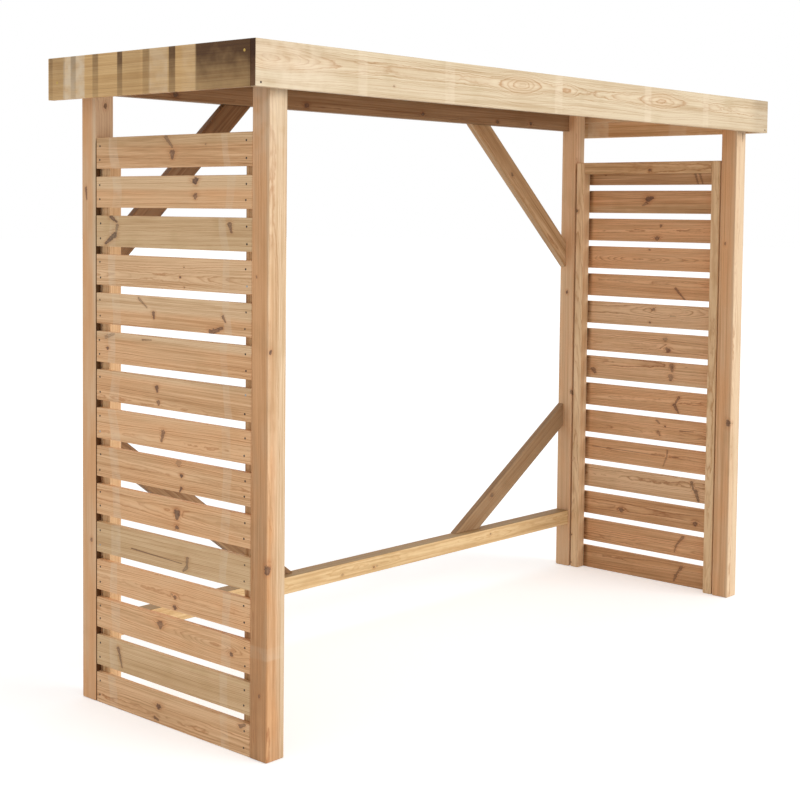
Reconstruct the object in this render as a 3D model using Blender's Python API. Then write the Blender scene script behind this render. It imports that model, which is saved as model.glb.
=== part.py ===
"""Open slatted timber shelter: four posts, two slatted end panels and a flat boxed roof.

X runs along the length, Y from front to rear, Z up from the ground. The origin is on the
ground at the centre of the plan. Sizes are in metres.
"""
import math

import bmesh
import bpy
from mathutils import Matrix

# Posts
POST_SIDE = 0.070
POSTS_LENGTH = 2.650  # over the posts' outer faces, along X
POSTS_DEPTH = 0.870  # over the posts' outer faces, along Y

# Roof beams, which sit in notches in the outer halves of the post tops
BEAM_UNDERSIDE = 1.940
BEAM_HEIGHT = 0.072
BEAM_DEPTH = 0.035

# Roof
ROOF_OVERHANG_ENDS = 0.095  # from the posts' outer faces to the fascia's outer faces
ROOF_OVERHANG_SIDES = 0.045
FASCIA_HEIGHT = 0.130
REAR_FASCIA_HEIGHT = 0.095  # nothing of it shows below the rear beam from the front
FASCIA_THICKNESS = 0.020
FASCIA_LIP = 0.012  # how far the fascia stands above the felt
DECK_THICKNESS = 0.018
FELT_THICKNESS = 0.003
EDGE_BATTEN_SIDE = 0.030

# Slatted end panels
PANEL_HEIGHT = 1.800
SLAT_COUNT = 15
SLAT_WIDTH = 0.097
SLAT_THICKNESS = 0.018
SLAT_RECESS = 0.002  # behind the posts' outer faces
STILE_WIDTH = 0.040
STILE_DEPTH = 0.045
STILE_INSET = 0.007  # from the slat ends
PANEL_RAIL_HEIGHT = 0.050
SLAT_BITE = 0.001  # how far a slat is let into the stiles

# Rear bottom rail and braces, all flush with the rear faces of the rear posts
RAIL_UNDERSIDE = 0.190
RAIL_HEIGHT = 0.062
RAIL_DEPTH = 0.065
BRACE_THICKNESS = 0.028
BRACE_WIDTH = 0.083
UPPER_BRACE_DROP = {"left": 0.603, "right": 0.600}  # down the post, from the beam
UPPER_BRACE_RUN = {"left": 0.625, "right": 0.671}  # along the beam, from the post
LOWER_BRACE_RISE = {"left": 0.626, "right": 0.477}  # up the post, from the rail
LOWER_BRACE_RUN = {"left": 0.842, "right": 0.742}  # along the rail, from the post

# Fits and edges
CONTACT_GAP = 0.0003  # left between pieces that touch
POST_EDGE = 0.003
BOARD_EDGE = 0.0015
EDGE_SEGMENTS = 2

# Places that follow from the sizes
POST_OUT_X = POSTS_LENGTH / 2
POST_IN_X = POST_OUT_X - POST_SIDE
POST_OUT_Y = POSTS_DEPTH / 2
POST_IN_Y = POST_OUT_Y - POST_SIDE
BEAM_IN_Y = POST_OUT_Y - BEAM_DEPTH
BEAM_TOP = BEAM_UNDERSIDE + BEAM_HEIGHT
DECK_UNDERSIDE = BEAM_TOP + CONTACT_GAP
DECK_TOP = DECK_UNDERSIDE + DECK_THICKNESS
FELT_UNDERSIDE = DECK_TOP + CONTACT_GAP
FELT_TOP = FELT_UNDERSIDE + FELT_THICKNESS
FASCIA_TOP = FELT_TOP + FASCIA_LIP
FASCIA_UNDERSIDE = FASCIA_TOP - FASCIA_HEIGHT
ROOF_OUT_X = POST_OUT_X + ROOF_OVERHANG_ENDS
ROOF_IN_X = ROOF_OUT_X - FASCIA_THICKNESS
ROOF_OUT_Y = POST_OUT_Y + ROOF_OVERHANG_SIDES
ROOF_IN_Y = ROOF_OUT_Y - FASCIA_THICKNESS
BATTEN_OUT_X = ROOF_IN_X - CONTACT_GAP
BATTEN_IN_X = BATTEN_OUT_X - EDGE_BATTEN_SIDE
RAIL_TOP = RAIL_UNDERSIDE + RAIL_HEIGHT
BRACE_FRONT = POST_OUT_Y - BRACE_THICKNESS

# Timber colours, linear, from pale new pine to the browner boards in the shade
PINE_PALE = (0.68, 0.47, 0.24)
PINE_TAN = (0.56, 0.34, 0.17)
PINE_YELLOW = (0.64, 0.46, 0.22)
PINE_BROWN = (0.33, 0.19, 0.09)
FELT_GREY = (0.045, 0.045, 0.048)


def clear_scene():
    for leftover in list(bpy.data.objects):
        bpy.data.objects.remove(leftover, do_unlink=True)


def finish(name, colour, roughness):
    material = bpy.data.materials.new(name)
    material.use_nodes = True
    shader = material.node_tree.nodes["Principled BSDF"]
    shader.inputs["Base Color"].default_value = (*colour, 1.0)
    shader.inputs["Roughness"].default_value = roughness
    shader.inputs["Metallic"].default_value = 0.0
    return material


def new_object(name, mesh_builder):
    """Make an empty mesh object, let mesh_builder fill it, and link it to the scene."""
    mesh = bpy.data.meshes.new(name)
    shape = bmesh.new()
    mesh_builder(shape)
    bmesh.ops.recalc_face_normals(shape, faces=shape.faces)
    shape.to_mesh(mesh)
    shape.free()
    thing = bpy.data.objects.new(name, mesh)
    bpy.context.scene.collection.objects.link(thing)
    return thing


def add_box(shape, low, high):
    """Add a box between two corners to a bmesh."""
    size = [b - a for a, b in zip(low, high)]
    centre = [(a + b) / 2 for a, b in zip(low, high)]
    place = Matrix.Translation(centre) @ Matrix.Diagonal((*size, 1.0))
    bmesh.ops.create_cube(shape, size=1.0, matrix=place)


def add_prism(shape, outline, front, back):
    """Add a board whose outline is given as (x, z) points, between two Y planes."""
    points = [shape.verts.new((x, front, z)) for x, z in outline]
    face = shape.faces.new(points)
    moved = bmesh.ops.extrude_face_region(shape, geom=[face])
    new_points = [part for part in moved["geom"] if isinstance(part, bmesh.types.BMVert)]
    bmesh.ops.translate(shape, verts=new_points, vec=(0.0, back - front, 0.0))


def round_edges(thing, width):
    bevel = thing.modifiers.new("rounded_edges", "BEVEL")
    bevel.width = width
    bevel.segments = EDGE_SEGMENTS
    bevel.limit_method = "ANGLE"
    bevel.angle_limit = math.radians(30)


def cut_away(thing, low, high):
    """Cut a box out of an object with an exact Boolean."""
    cutter = new_object(thing.name + "_cutter", lambda shape: add_box(shape, low, high))
    cutter.hide_render = True
    cutter.display_type = "WIRE"
    cut = thing.modifiers.new("notch", "BOOLEAN")
    cut.operation = "DIFFERENCE"
    cut.solver = "EXACT"
    cut.object = cutter


def board(name, low, high, colour, edge=BOARD_EDGE):
    thing = new_object(name, lambda shape: add_box(shape, low, high))
    round_edges(thing, edge)
    thing.data.materials.append(finish(name + "_timber", colour, 0.75))
    return thing


def span(side, inner, outer):
    """Low and high coordinate of something between two distances on one side of the centre."""
    return (inner, outer) if side > 0 else (-outer, -inner)


def make_post(name, side_x, side_y):
    """A square post whose outer half is notched at the top for the roof beam."""
    x_low, x_high = span(side_x, POST_IN_X, POST_OUT_X)
    y_low, y_high = span(side_y, POST_IN_Y, POST_OUT_Y)
    notch_low, notch_high = span(side_y, BEAM_IN_Y - CONTACT_GAP, POST_OUT_Y + POST_SIDE)
    low = (x_low, y_low, 0.0)
    high = (x_high, y_high, BEAM_TOP)
    post = new_object(name, lambda shape: add_box(shape, low, high))
    round_edges(post, POST_EDGE)
    cut_away(
        post,
        (x_low - POST_SIDE, notch_low, BEAM_UNDERSIDE - CONTACT_GAP),
        (x_high + POST_SIDE, notch_high, BEAM_TOP + POST_SIDE),
    )
    post.data.materials.append(finish(name + "_timber", PINE_TAN, 0.75))


def make_posts():
    for end, side_x in (("left", -1), ("right", 1)):
        make_post("post_front_" + end, side_x, -1)
        make_post("post_rear_" + end, side_x, 1)


def make_roof_beams():
    reach = BATTEN_IN_X - CONTACT_GAP
    for name, side in (("front_top_beam", -1), ("rear_top_beam", 1)):
        y_low, y_high = span(side, BEAM_IN_Y, POST_OUT_Y)
        board(name, (-reach, y_low, BEAM_UNDERSIDE), (reach, y_high, BEAM_TOP), PINE_BROWN)


def make_edge_battens():
    """A batten under each end of the deck, which the end fascia is nailed to."""
    reach = ROOF_IN_Y - CONTACT_GAP
    for name, side in (("left_edge_batten", -1), ("right_edge_batten", 1)):
        x_low, x_high = span(side, BATTEN_IN_X, BATTEN_OUT_X)
        low = (x_low, -reach, BEAM_TOP - EDGE_BATTEN_SIDE)
        board(name, low, (x_high, reach, BEAM_TOP), PINE_TAN)


def make_fascia():
    """The front board runs the whole length and the end boards stand behind it.

    A shallower rear board fits between the end boards.
    """
    front_low = (-ROOF_OUT_X, -ROOF_OUT_Y, FASCIA_UNDERSIDE)
    board("front_fascia", front_low, (ROOF_OUT_X, -ROOF_IN_Y, FASCIA_TOP), PINE_PALE)
    front_end = -(ROOF_IN_Y - CONTACT_GAP)
    for name, side in (("left_fascia", -1), ("right_fascia", 1)):
        x_low, x_high = span(side, ROOF_IN_X, ROOF_OUT_X)
        low = (x_low, front_end, FASCIA_UNDERSIDE)
        board(name, low, (x_high, ROOF_OUT_Y, FASCIA_TOP), PINE_TAN)
    rear_end = ROOF_IN_X - CONTACT_GAP
    rear_low = (-rear_end, ROOF_IN_Y, FASCIA_TOP - REAR_FASCIA_HEIGHT)
    board("rear_fascia", rear_low, (rear_end, ROOF_OUT_Y, FASCIA_TOP), PINE_TAN)


def make_roof_sheet(name, underside, top, colour, roughness):
    """A flat sheet that fills the fascia frame."""
    reach_x = ROOF_IN_X - CONTACT_GAP
    reach_y = ROOF_IN_Y - CONTACT_GAP
    low = (-reach_x, -reach_y, underside)
    high = (reach_x, reach_y, top)
    sheet = new_object(name, lambda shape: add_box(shape, low, high))
    sheet.data.materials.append(finish(name + "_surface", colour, roughness))


def make_slat_panel(name, side):
    """Fifteen slats on the outside of two stiles and a top rail, joined into one piece."""
    slat_end = POST_IN_Y - CONTACT_GAP
    stile_out_y = slat_end - STILE_INSET
    stile_in_y = stile_out_y - STILE_WIDTH
    slat_out_x = POST_OUT_X - SLAT_RECESS
    slat_in_x = slat_out_x - SLAT_THICKNESS
    frame_out_x = slat_in_x + SLAT_BITE
    frame_in_x = slat_in_x - STILE_DEPTH
    pitch = (PANEL_HEIGHT - SLAT_WIDTH) / (SLAT_COUNT - 1)
    frame_x = span(side, frame_in_x, frame_out_x)
    slat_x = span(side, slat_in_x, slat_out_x)

    def frame_shape(shape):
        outline = (
            (-stile_out_y, 0.0),
            (-stile_in_y, 0.0),
            (-stile_in_y, PANEL_HEIGHT - PANEL_RAIL_HEIGHT),
            (stile_in_y, PANEL_HEIGHT - PANEL_RAIL_HEIGHT),
            (stile_in_y, 0.0),
            (stile_out_y, 0.0),
            (stile_out_y, PANEL_HEIGHT),
            (-stile_out_y, PANEL_HEIGHT),
        )
        points = [shape.verts.new((frame_x[0], y, z)) for y, z in outline]
        face = shape.faces.new(points)
        moved = bmesh.ops.extrude_face_region(shape, geom=[face])
        new_points = [part for part in moved["geom"] if isinstance(part, bmesh.types.BMVert)]
        bmesh.ops.translate(shape, verts=new_points, vec=(frame_x[1] - frame_x[0], 0.0, 0.0))

    def slats_shape(shape):
        for row in range(SLAT_COUNT):
            low_z = row * pitch
            add_box(shape, (slat_x[0], -slat_end, low_z), (slat_x[1], slat_end, low_z + SLAT_WIDTH))

    panel = new_object(name, frame_shape)
    slats = new_object(name + "_slats", slats_shape)
    slats.hide_render = True
    slats.display_type = "WIRE"
    nailed = panel.modifiers.new("slats", "BOOLEAN")
    nailed.operation = "UNION"
    nailed.solver = "EXACT"
    nailed.object = slats
    panel.data.materials.append(finish(name + "_timber", PINE_TAN, 0.75))


def make_rear_rail():
    reach = POST_IN_X - CONTACT_GAP
    low = (-reach, POST_OUT_Y - RAIL_DEPTH, RAIL_UNDERSIDE)
    board("rear_bottom_rail", low, (reach, POST_OUT_Y, RAIL_TOP), PINE_YELLOW, POST_EDGE)


def make_brace(name, side, run, rise, seat, direction):
    """A board cut to fit between a rear post and a rail or beam.

    The side that faces away from the corner starts on the seat, run away from the post, and
    meets the post rise away from the seat. direction is 1 for a brace that stands on its seat
    and -1 for one that hangs under it.
    """
    post_face = POST_IN_X - CONTACT_GAP
    start = seat + direction * CONTACT_GAP
    near_run = run - BRACE_WIDTH / math.sin(math.atan2(rise, run))
    near_rise = near_run * rise / run
    outline = [
        (side * (post_face - run), start),
        (side * post_face, start + direction * rise),
        (side * post_face, start + direction * near_rise),
        (side * (post_face - near_run), start),
    ]
    brace = new_object(name, lambda shape: add_prism(shape, outline, BRACE_FRONT, POST_OUT_Y))
    round_edges(brace, BOARD_EDGE)
    brace.data.materials.append(finish(name + "_timber", PINE_BROWN, 0.8))


def make_braces():
    for end, side in (("left", -1), ("right", 1)):
        make_brace(
            "upper_brace_" + end,
            side,
            UPPER_BRACE_RUN[end],
            UPPER_BRACE_DROP[end],
            BEAM_UNDERSIDE,
            -1,
        )
        make_brace(
            "lower_brace_" + end,
            side,
            LOWER_BRACE_RUN[end],
            LOWER_BRACE_RISE[end],
            RAIL_TOP,
            1,
        )


def main():
    clear_scene()
    make_posts()
    make_roof_beams()
    make_edge_battens()
    make_fascia()
    make_roof_sheet("roof_deck", DECK_UNDERSIDE, DECK_TOP, PINE_PALE, 0.75)
    make_roof_sheet("roofing_felt", FELT_UNDERSIDE, FELT_TOP, FELT_GREY, 0.9)
    make_slat_panel("left_slat_panel", -1)
    make_slat_panel("right_slat_panel", 1)
    make_rear_rail()
    make_braces()


main()
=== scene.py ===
"""Looks of an open slatted timber shelter, in planed and pressure-treated pine.

The posts, beams, fascia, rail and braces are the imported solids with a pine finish. The slatted
end panels, the roof boards, the roofing felt and the fixings are made here as separate pieces.
Lengths are in metres. X runs along the shelter, Y from front to rear, Z up.
"""

import functools
import math

import bpy
import numpy as np
from bpy.props import FloatProperty, FloatVectorProperty, IntProperty, PointerProperty
from mathutils import Matrix, Vector


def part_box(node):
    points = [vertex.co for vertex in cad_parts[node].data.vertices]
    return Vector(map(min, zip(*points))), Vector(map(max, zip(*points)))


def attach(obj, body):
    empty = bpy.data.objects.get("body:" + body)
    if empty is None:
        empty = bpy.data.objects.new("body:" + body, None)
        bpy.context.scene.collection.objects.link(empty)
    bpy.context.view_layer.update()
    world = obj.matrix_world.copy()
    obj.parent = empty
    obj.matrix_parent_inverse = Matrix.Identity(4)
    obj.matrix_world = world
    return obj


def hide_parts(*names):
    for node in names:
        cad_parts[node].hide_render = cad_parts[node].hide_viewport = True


bl_info = {
    "name": "Slatted timber shelter",
    "version": (1, 0, 0),
    "blender": (4, 5, 0),
    "location": "View3D > Sidebar > Shelter",
    "description": "Finishes a timber shelter: pine boards, slatted panels, roof, felt and fixings",
    "category": "Add Mesh",
}

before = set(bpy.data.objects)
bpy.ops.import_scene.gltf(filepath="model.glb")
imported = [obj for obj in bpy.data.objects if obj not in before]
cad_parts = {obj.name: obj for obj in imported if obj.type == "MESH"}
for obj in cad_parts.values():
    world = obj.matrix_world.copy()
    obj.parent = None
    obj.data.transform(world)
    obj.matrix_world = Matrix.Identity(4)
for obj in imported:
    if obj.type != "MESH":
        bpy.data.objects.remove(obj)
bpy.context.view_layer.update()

# The photograph's camera, fitted to the shelter's corners
CAMERA_PLACE = (-4.2, -3.528, 1.5794)
CAMERA_HEADING = math.radians(47.9175)
CAMERA_TILT = math.radians(-3.2599)
CAMERA_ROLL = math.radians(0.5932)
PICTURE_PIXELS = 800
FOCAL_PIXELS = 1503.01
OPTICAL_AXIS_ROW = 296.87
SENSOR_WIDTH_MM = 36.0

# Boards
ARRIS_STEPS = 3
NEARLY_UPRIGHT = 0.9
FACE_CELLS = 4
BOARD_SEED_STEP = 2.37
PITH_DEPTH = (0.015, 0.055)
PITH_OFFSET = 0.030
GRAIN_SLOPE = 0.012
BOARD_WARP = 0.0002
KNOTS_PER_BOARD = 4
NO_KNOT = (9.0, 9.0, 9.01, 9.0, 0.001, 0.0)

# Where each piece's random draws start. Boards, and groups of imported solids, are also numbered
# from theirs, so that no two have the same stretch of grain.
SEEDS = {
    "left_slats": 30, "right_slats": 70, "left_stiles": 110, "right_stiles": 111,
    "left_nail_places": 7, "right_nail_places": 8, "left_panel_nails": 17, "right_panel_nails": 18,
    "roof_boards": 200, "roof_board_looks": 5, "felt_nail_places": 9, "felt_nails": 19,
    "fascia_screws": 23, "fascia_nails": 24,
    "posts": 0, "fascia": 5, "timbers": 11, "braces": 20,
}

X_AXIS = Vector((1.0, 0.0, 0.0))
Y_AXIS = Vector((0.0, 1.0, 0.0))
Z_AXIS = Vector((0.0, 0.0, 1.0))

# Tones of single boards: how much lighter they are, and how strongly the orange-pink heartwood
# and the greenish, copper-treated sapwood show
TONES = {
    "tan": (-0.01, 0.35, 0.25),
    "pale": (0.07, 0.15, 0.10),
    "honey": (0.02, 0.30, 0.15),
    "pink": (0.05, 0.62, 0.30),
    "olive": (-0.01, 0.08, 0.62),
    "amber": (-0.03, 0.55, 0.05),
    "brown": (-0.16, 0.45, 0.35),
    "dark": (-0.30, 0.15, 0.45),
    "umber": (-0.46, 0.25, 0.40),
    "grey": (-0.06, 0.10, 0.45),
    "heart": (-0.05, 1.05, 0.10),
    "rosy": (0.23, 0.95, 0.00),
    "blush": (0.12, 0.60, 0.10),
    "cream": (0.06, 0.80, 0.10),
    "ash": (0.10, 0.05, 0.45),
    "sage": (0.09, 0.15, 0.60),
    "taupe": (-0.27, 0.00, 0.25),
    "moss": (-0.22, 0.00, 0.80),
}

# The tables of marks and bands are in millimetres, and the last value of a row is in hundredths
def metres(rows):
    """Rows of a table in metres, with the last value of each as a share of one."""
    return [(*(value / 1000 for value in row[:-1]), row[-1] / 100) for row in rows]


# Slats from the top of each panel: tone, the pith's place across the slat and depth under it,
# eyes of the ring figure (place, half length, depth), and marks. A mark is a knot or a crack:
# place along Y and height from the slat's middle, the same of its far end, radius and darkness.
LEFT_SLATS = (
    ("brown", (-56, 20), (), (
        (20, 42, -9, 13, 6, 50), (-11, -6, -10, -20, 9, 65), (-161, 17, -160, 17, 3, 35),
    )),
    ("pink", (-68, 20), (), ((-116, 31, -117, 26, 10, 90), (-116, -13, -116, -18, 8, 65))),
    ("olive", (160, 40), (), (
        (289, 46, 259, 29, 6, 75), (256, 18, 262, -9, 5, 50), (270, -12, 314, -38, 8, 80),
        (-268, 29, -276, 6, 6, 65),
    )),
    ("honey", (-12, 34), ((-370, 220, 50), (420, 200, 40)), (
        (-49, -10, -50, -10, 3.6, 90), (-66, 20, -67, 20, 2.4, 60), (-68, -40, -69, -40, 2.6, 60),
    )),
    ("amber", (-75, 28), (), (
        (148, 39, 109, 14, 4, 45), (77, -1, 75, -18, 5, 75), (-240, 5, -252, -11, 4, 65),
        (-189, -45, -236, -29, 8, 70),
    )),
    ("amber", (-50, 22), (), (
        (131, 35, 87, 37, 2, 60), (305, -3, 305, -5, 5, 80), (312, 33, 272, 44, 6, 35),
    )),
    ("amber", (-40, 26), (), ((61, 16, 59, 4, 6, 75), (53, -29, 53, -36, 6, 60))),
    ("blush", (-22, 26), (), ((30, 6, 39, -24, 6, 60),)),
    ("amber", (0, 22), (), (
        (-42, 40, -43, 34, 9, 30), (-56, 2, -56, 0, 5.5, 90), (-56, -34, -47, -46, 4, 75),
    )),
    ("pink", (10, 34), (), ((-36, 9, -36, -6, 10, 80), (-37, -34, -39, -36, 7, 80))),
    ("olive", (-165, 40), (), (
        (184, -11, -60, -19, 1.6, 75), (-84, 0, -82, -26, 5, 50), (-82, -26, -66, -40, 5, 50),
    )),
    ("blush", (0, 24), (), (
        (-27, -7, -27, -9, 6, 70), (-26, -38, -26, -41, 7, 80), (-12, 0, -13, -3, 3, 35),
    )),
    ("pink", (12, 30), ((-200, 120, 60),), ((43, 20, 43, 11, 10.5, 60), (-284, -6, -286, -8, 7, 75))),
    ("olive", (150, 50), (), ((250, 22, 247, 10, 6, 60), (244, 6, 232, -33, 5, 55))),
    ("tan", (-20, 34), (), (
        (51, 3, 51, 1, 9, 80), (69, -33, 53, -37, 5, 70), (-324, 35, -343, 42, 6, 60),
    )),
)
RIGHT_SLATS = (
    # The top slat's dark taupe tone is painted shade from the rail above it
    ("taupe", (40, 30), (), (
        (233, -5, 232, -5, 3, 70), (-214, -3, -229, -46, 4, 50), (-236, -3, -252, -46, 4, 45),
    )),
    ("brown", (60, 30), (), ((14, 12, -6, 18, 11, 85), (22, -4, 40, -14, 6, 45))),
    ("amber", (0, 24), (), ((-52, 22, -50, 16, 4.5, 60), (-34, -34, -34, -38, 9, 60))),
    ("pink", (-2, 30), ((60, 200, 70),), ((4, 39, -2, 38, 3, 60),)),
    ("amber", (20, 26), (), ((-131, -1, -178, -49, 4.5, 60),)),
    ("sage", (20, 44), ((-120, 220, 40),), (
        (-24, 26, -25, 25, 7, 65), (-6, -31, -6, -32, 4, 80), (-108, 3, -134, 2, 3, 30),
    )),
    ("honey", (-10, 32), (), ((-84, 22, -84, 18, 8, 40), (-98, -22, -97, -28, 10, 55))),
    ("tan", (30, 40), (), (
        (283, -11, 275, -24, 10, 60), (-119, 34, -122, 12, 8, 50), (-115, -12, -115, -26, 10, 45),
    )),
    ("amber", (0, 26), (), ((-158, 24, -138, -6, 5, 60), (-136, -10, -156, -41, 6, 65))),
    ("amber", (-15, 28), (), (
        (-51, 36, -64, 26, 4, 50), (-93, 15, -94, 14, 3.5, 95), (-58, -12, -68, -26, 6, 45),
        (-165, 3, -232, 7, 1.4, 75),
    )),
    ("amber", (10, 24), (), (
        (280, 12, -92, 8, 1.3, 60), (-130, 9, -160, 11, 1.4, 80), (-106, 34, -104, 10, 3, 50),
        (-104, 10, -86, -36, 3, 35),
    )),
    ("olive", (15, 46), (), ((-228, 34, -238, 3, 5, 60), (-249, 0, -263, -40, 7, 65))),
    ("brown", (0, 36), (), ((122, -12, 122, -16, 11, 60), (-249, -16, -249, -24, 8, 70))),
    ("amber", (-20, 28), (), ((-191, 38, -160, 0, 5, 55), (-160, 0, -151, -30, 4, 45))),
    ("brown", (20, 24), (), ((-187, 30, -160, -10, 5, 50), (-160, -10, -151, -35, 5, 50))),
)

# Bands across a board, as place along it, half width, softness and strength
SLAT_LATH_MARKS = metres(((268, 18, 4, 24), (-256, 15, 4, 20)))
SLAT_LATH_DRIFT = 0.10
# Painted shade: dark strips on the right slats' inner faces beside the stiles, where the stiles shade
# them
PAINTED_SHADE_BESIDE_STILES = metres(((318, 4, 24, 72), (-318, 4, 24, 72)))
FRONT_LATH_MARKS = metres((
    (-1290, 60, 220, 42), (-996, 14, 10, 30), (-602, 18, 10, 28),
    (-30, 16, 10, 34), (522, 16, 10, 34), (930, 14, 10, 26),
))
FRONT_STAINS = metres(((-1420, 0.6, 1, 100), (1400, 60, 80, 20)))
# On the front left post: a lath mark and painted light on its top, and darker towards its foot
FRONT_POST_LATH_MARK_AND_PAINTED_LIGHT = metres(((-692, 14, 8, 20), (990, 20, 400, 40)))
FRONT_POST_DARKER_FOOT = metres(((-1000, 100, 900, 24),))
END_FASCIA_STAINS = metres((
    (455, 7, 6, 50), (415, 30, 6, 26), (338, 9, 8, 40), (226, 11, 6, 48), (106, 10, 5, 72),
    (50, 30, 30, 15), (-18, 12, 8, 40), (-137, 12, 5, 76), (-385, 138, 12, 90), (-490, 20, 60, 100),
))
END_FASCIA_LATH_MARKS = metres(((335, 50, 10, 60), (-75, 36, 14, 30), (-215, 22, 20, 16)))


def linear(hex_colour):
    """Turn an sRGB hex colour such as "#E8D2B0" into linear red, green and blue."""
    parts = [int(hex_colour[i:i + 2], 16) / 255 for i in (1, 3, 5)]
    return tuple(p / 12.92 if p <= 0.04045 else ((p + 0.055) / 1.055) ** 2.4 for p in parts)


def colour_property(name, description, hex_colour):
    return FloatVectorProperty(
        name=name,
        description=description,
        subtype="COLOR",
        size=3,
        min=0.0,
        max=1.0,
        default=linear(hex_colour),
    )


def length_property(name, description, default):
    return FloatProperty(
        name=name,
        description=description,
        default=default,
        precision=4,
        subtype="DISTANCE",
        unit="LENGTH",
    )


class ShelterColours(bpy.types.PropertyGroup):
    """Colours of the timber, felt and fixings."""

    fascia_wood: colour_property("Fascia", "Pale earlywood of the front fascia", "#DFCBAA")
    fascia_grain: colour_property("Fascia grain", "Latewood lines of the front fascia", "#C09A72")
    post_wood: colour_property("Posts", "Earlywood of the posts", "#E7CAA5")
    post_grain: colour_property("Post grain", "Latewood lines of the posts", "#BC8D62")
    slat_wood: colour_property("Slats", "Earlywood of the slats", "#F2CEA2")
    slat_grain: colour_property("Slat grain", "Latewood lines of the slats", "#BC8350")
    inner_wood: colour_property("Inner slats", "Earlywood of the right panel's slats", "#E8C298")
    inner_grain: colour_property("Inner slat grain", "Latewood of those slats", "#A9744A")
    side_wood: colour_property("End fascia", "Tan earlywood of the end fascia", "#E5BB81")
    side_grain: colour_property("End fascia grain", "Latewood of the end fascia", "#B5875A")
    brace_wood: colour_property("Braces", "Brown earlywood of braces and beams", "#B08F6C")
    brace_grain: colour_property("Brace grain", "Latewood of braces and beams", "#85644A")
    rail_wood: colour_property("Rear rail", "Yellow earlywood of the rear rail", "#E6C593")
    rail_grain: colour_property("Rear rail grain", "Latewood of the rear rail", "#C39257")
    knot_wood: colour_property("Knots", "Heart of a knot", "#83604A")
    knot_rim: colour_property("Knot rim", "Dark bark ring round a knot", "#46302A")
    knot_stain: colour_property("Stained knot", "Preservative on a knot in sapwood", "#6F7D68")
    felt: colour_property("Felt", "Mineral grains of the roofing felt", "#5B5D5C")
    felt_dark: colour_property("Felt bitumen", "Bitumen between the grains", "#333537")
    steel: colour_property("Nails", "Dark steel of the nail heads", "#41332A")
    zinc: colour_property("Felt nails", "Galvanised heads of the felt nails", "#A9ACAC")
    brass: colour_property("Screws", "Yellow passivated screw heads", "#C2A256")


class ShelterSizes(bpy.types.PropertyGroup):
    """Sizes of the boards and fixings that are made here."""

    slat_arris: length_property("Slat arris", "Rounding of a slat's edges", 0.0022)
    slat_end_gap: length_property("Slat end gap", "Gap between a slat and the posts", 0.0010)
    frame_arris: length_property("Stile arris", "Rounding of a stile's edges", 0.0025)
    joint_gap: length_property("Joint gap", "Open line between boards that meet", 0.0008)
    deck_board: length_property("Roof board", "Cover width of a roof board", 0.094)
    nail_head: length_property("Nail head", "Diameter of a panel nail's head", 0.0068)
    screw_head: length_property("Screw head", "Diameter of a screw's head", 0.0085)
    clout_head: length_property("Felt nail head", "Diameter of a felt nail's head", 0.0100)
    felt_ripple: length_property("Felt ripple", "Height of the felt's waves", 0.0006)
    slat_cells: IntProperty(name="Slat cells", description="Faces along a slat", default=40, min=4)


class ShelterStage(bpy.types.PropertyGroup):
    """Light and floor."""

    sun_strength: FloatProperty(name="Sun", description="Strength of the soft key light", default=1.4)
    sky_level: FloatProperty(name="Sky", description="Level of the surroundings", default=0.66)
    floor_glow: FloatProperty(name="Floor glow", description="White added for the camera", default=0.42)
    floor_reach: length_property("Floor", "Half the floor's width", 60.0)
    floor_colour: colour_property("Floor colour", "Pale floor", "#F4F4F4")


def add(tree, kind, *values, out=0, stops=(), **settings):
    """Add a shader node: its kind, then its operation if it has one, such as "Math ADD".

    Values set or link its sockets in order, and None leaves one alone. Settings go on the node,
    and a ramp takes its stops. Returns the output that is asked for.
    """
    kind, _, operation = kind.partition(" ")
    made = tree.nodes.new("ShaderNode" + kind)
    if operation:
        made.operation = operation
    for name, value in settings.items():
        setattr(made, name, value)
    for socket, value in zip(made.inputs, values):
        if isinstance(value, bpy.types.NodeSocket):
            tree.links.new(value, socket)
        elif value is not None:
            socket.default_value = value
    for index, (place, level) in enumerate(stops):
        elements = made.color_ramp.elements
        stop = elements[index] if index < 2 else elements.new(place)
        stop.position = place
        stop.color = (level, level, level, 1.0)
    return made.outputs[out]


def connect(tree, values, sockets):
    """Link or set sockets by name."""
    for name, value in values.items():
        if isinstance(value, bpy.types.NodeSocket):
            tree.links.new(value, sockets[name])
        else:
            sockets[name].default_value = value


def open_group(name, inputs, outputs):
    """A node group with its sockets, and where its values come in and go out."""
    tree = bpy.data.node_groups.new(name, "ShaderNodeTree")
    for direction, sockets in (("INPUT", inputs), ("OUTPUT", outputs)):
        for label, kind in sockets.items():
            tree.interface.new_socket(
                name=label, in_out=direction, socket_type="NodeSocket" + kind
            )
    return tree, tree.nodes.new("NodeGroupInput").outputs, tree.nodes.new("NodeGroupOutput").inputs


# Settings that nodes share
SMOOTH = {"interpolation_type": "SMOOTHSTEP"}
COLOURS = {"data_type": "RGBA", "out": 2}
TINTED = {**COLOURS, "blend_type": "MULTIPLY"}
TO_COLOURS = (None,) * 5

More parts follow.
